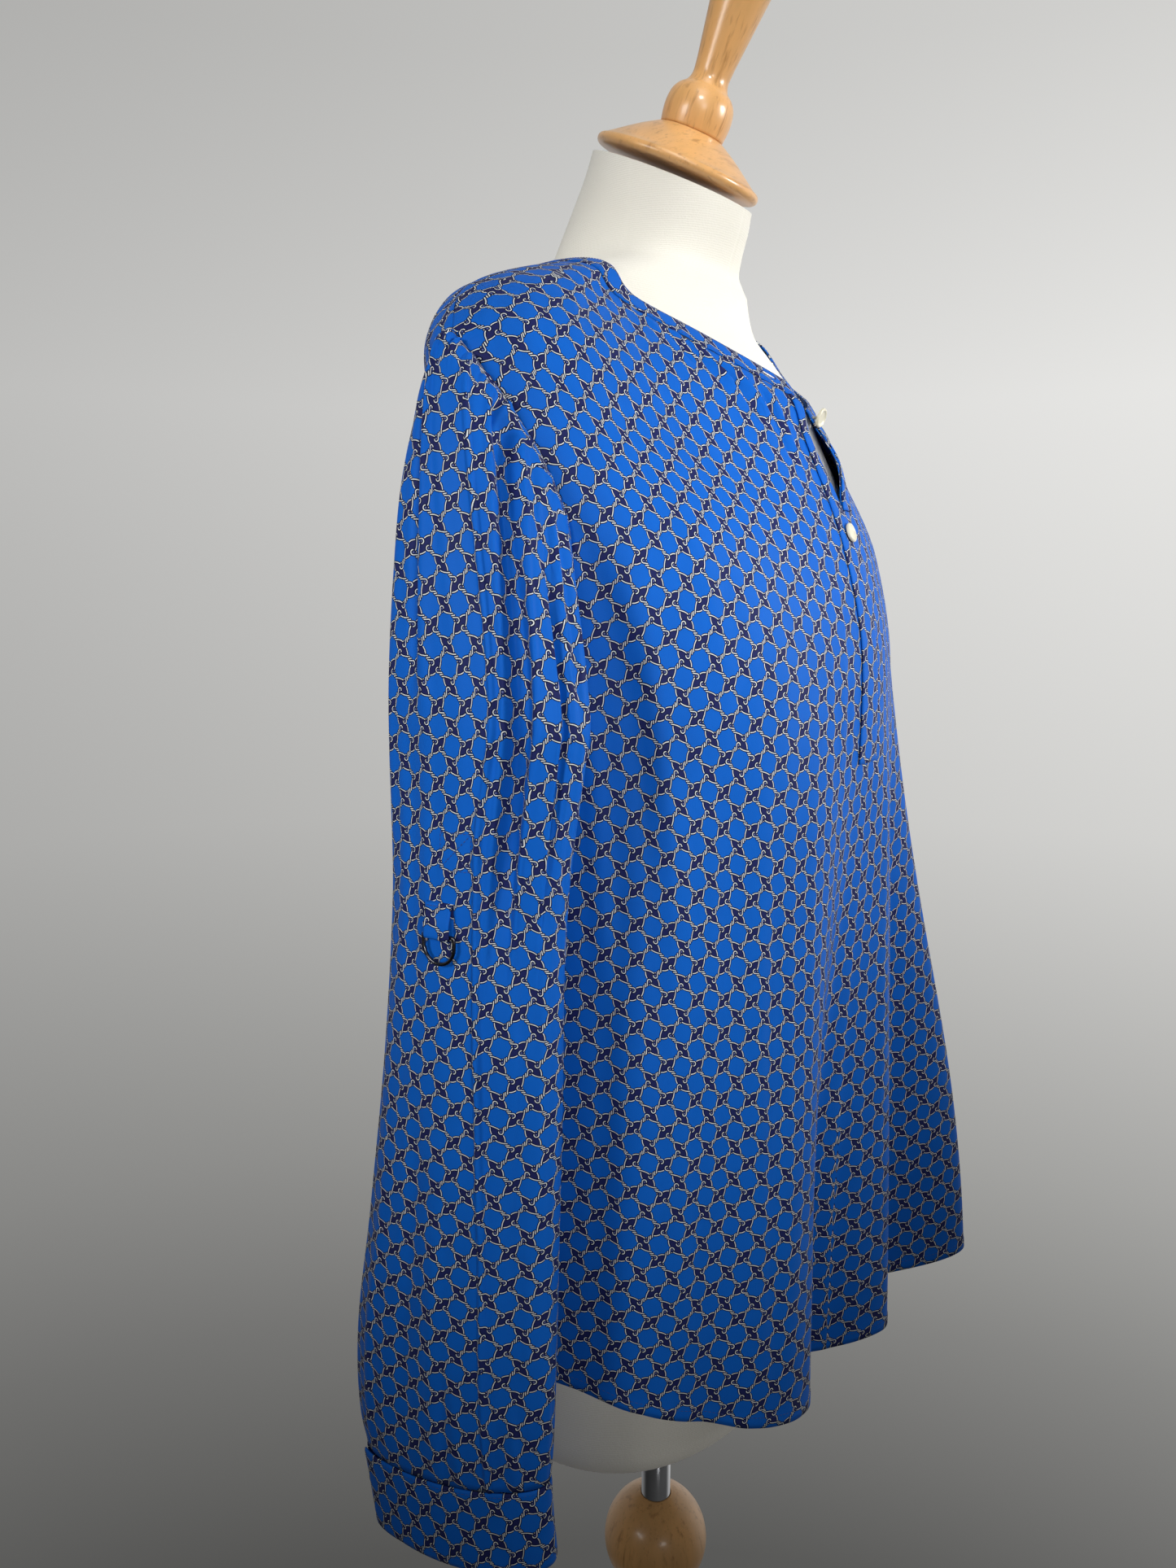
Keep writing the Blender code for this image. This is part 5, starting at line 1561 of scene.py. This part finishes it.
def add_light(name, place, target, size, spread, power):
    """Soft square light aimed at a point."""
    data = bpy.data.lights.new(name, "AREA")
    data.size = size
    data.energy = power
    data.spread = math.radians(spread)
    item = new_object(name, data)
    item.location = place
    item.rotation_euler = (Vector(target) - Vector(place)).to_track_quat("-Z", "Y").to_euler()


def build_camera():
    """Camera at the photograph's place."""
    turn = math.radians(CAMERA_TURN)
    dip = math.radians(CAMERA_DIP)
    forward = Vector((math.cos(turn) * math.cos(dip), math.sin(turn) * math.cos(dip), -math.sin(dip)))
    data = bpy.data.cameras.new("camera")
    data.lens = CAMERA_LENS
    data.sensor_fit = "VERTICAL"
    data.sensor_height = SENSOR_HEIGHT
    data.clip_start = 0.01
    item = new_object("camera", data)
    item.location = CAMERA_PLACE
    item.rotation_euler = forward.to_track_quat("-Z", "Y").to_euler()
    bpy.context.scene.camera = item
    bpy.context.scene.view_settings.view_transform = "Standard"


def build_garment(silk, thread):
    """Every cloth piece of the blouse."""
    front = np.concatenate((np.linspace(0.0, 0.42, 81), np.linspace(0.42, 1.0, 42)[1:]))
    back = np.linspace(0.0, 1.0, 84)
    build_panel("blouse_front", silk, thread, front, 166)
    build_panel("blouse_back", silk, thread, back, 168)
    build_neckband(silk, thread)
    build_plackets(silk)
    for side, label, table, folds in (
            (RIGHT, "right", RIGHT_SLEEVE_CREASES, RIGHT_SLEEVE_PLEATS),
            (LEFT, "left", LEFT_SLEEVE_CREASES, LEFT_SLEEVE_PLEATS)):
        build_sleeve(side, label, table, folds, silk)
        build_cuff(side, label, silk, thread)
        build_tab(side, label, silk, thread)
        build_bar_tack(side, label, table, thread)


def add_shank(name, start, end, material):
    """Thread shank that holds a button off the cloth: four twisted strands."""
    axis = (end - start).normalized()
    side = axis.cross(Vector(UPRIGHT)).normalized()
    up = np.array(side.cross(axis))
    side = np.array(side)
    verts, faces = [], []
    for strand in range(4):
        rings = []
        for t in np.linspace(0.0, 1.0, 9):
            a = math.radians(90.0 * strand + 150.0 * t)
            reach = 0.00055 + 0.00045 * (2.0 * t - 1.0) ** 2
            centre = np.array(start.lerp(end, t)) + (side * math.cos(a) + up * math.sin(a)) * reach
            rings.append(ring_round(centre, side * SHANK_STRAND, up * SHANK_STRAND, 6))
        add_tube(verts, faces, rings)
    add_piece(name, new_mesh(name, verts, faces), material)


def build_buttons(shell, thread):
    """Neck and placket buttons, and one on each cuff."""
    angle = float(angle_at(0.0125, 0.070))
    high = Vector(cloth_out(angle, neck_drop(angle), 0.0004))
    low = Vector(cloth_out(angle, band_seam_drop(angle), 0.0004))
    droop = Vector((0.0, -math.cos(BUTTON_DROOP), -math.sin(BUTTON_DROOP)))
    middle = 0.5 * (high + low)
    back = middle - Vector((0.0, BUTTON_SHANK, 0.0))
    turned("button_neck_shell", button_profile(BUTTON_RADIUS), shell, ("button_neck",), 48,
           place_on(back, droop))
    add_shank("button_neck_shank", middle, back + droop * 0.0002, thread)
    drop = OPENING_END_DROP + 0.010
    angle = float(angle_at(-0.0035, drop))
    normal = Vector(cloth_out(angle, drop, 0.01) - cloth_out(angle, drop, 0.0)).normalized()
    turned("button_placket_shell", button_profile(BUTTON_RADIUS), shell, ("button_placket",),
           48, place_on(Vector(cloth_out(angle, drop, CLOTH + SEAM_GAP + 0.0010)), normal))
    for side, label in ((RIGHT, "right"), (LEFT, "left")):
        p, normal = sleeve_surface(side, -86.0, 0.5 * (CUFF_SEAM_DROP + CUFF_HEM_DROP), 0.0018)
        turned("button_cuff_" + label + "_shell", button_profile(CUFF_BUTTON_RADIUS), shell,
               ("button_cuff_" + label,), 48, place_on(p, normal))


def main():
    """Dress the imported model."""
    build_camera()
    build_stage()
    silk = silk_material()
    thread = plain_material("navy_thread", NAVY_THREAD_TINT, 0.6, 900.0, 0.3)
    build_garment(silk, thread)
    shell = plain_material("cream_shell", SHELL_TINT, 0.28, 160.0, 0.18)
    build_buttons(shell, plain_material("cream_thread", CREAM_THREAD_TINT, 0.7, 900.0, 0.3))
    gunmetal = metal_material("gunmetal", GUNMETAL_TINT, 0.22, 300.0)
    build_ring(RIGHT, "right", gunmetal)
    build_ring(LEFT, "left", gunmetal)
    build_form(jersey_material())
    wood = wood_material("beech_turned", (1.0, 1.0, 0.10), BEECH_TINT)
    flat_wood = wood_material("beech_flat", (0.12, 1.0, 1.0), BEECH_TINT)
    build_stand(wood, flat_wood, metal_material("chrome", CHROME_TINT, 0.06, 60.0))


main()
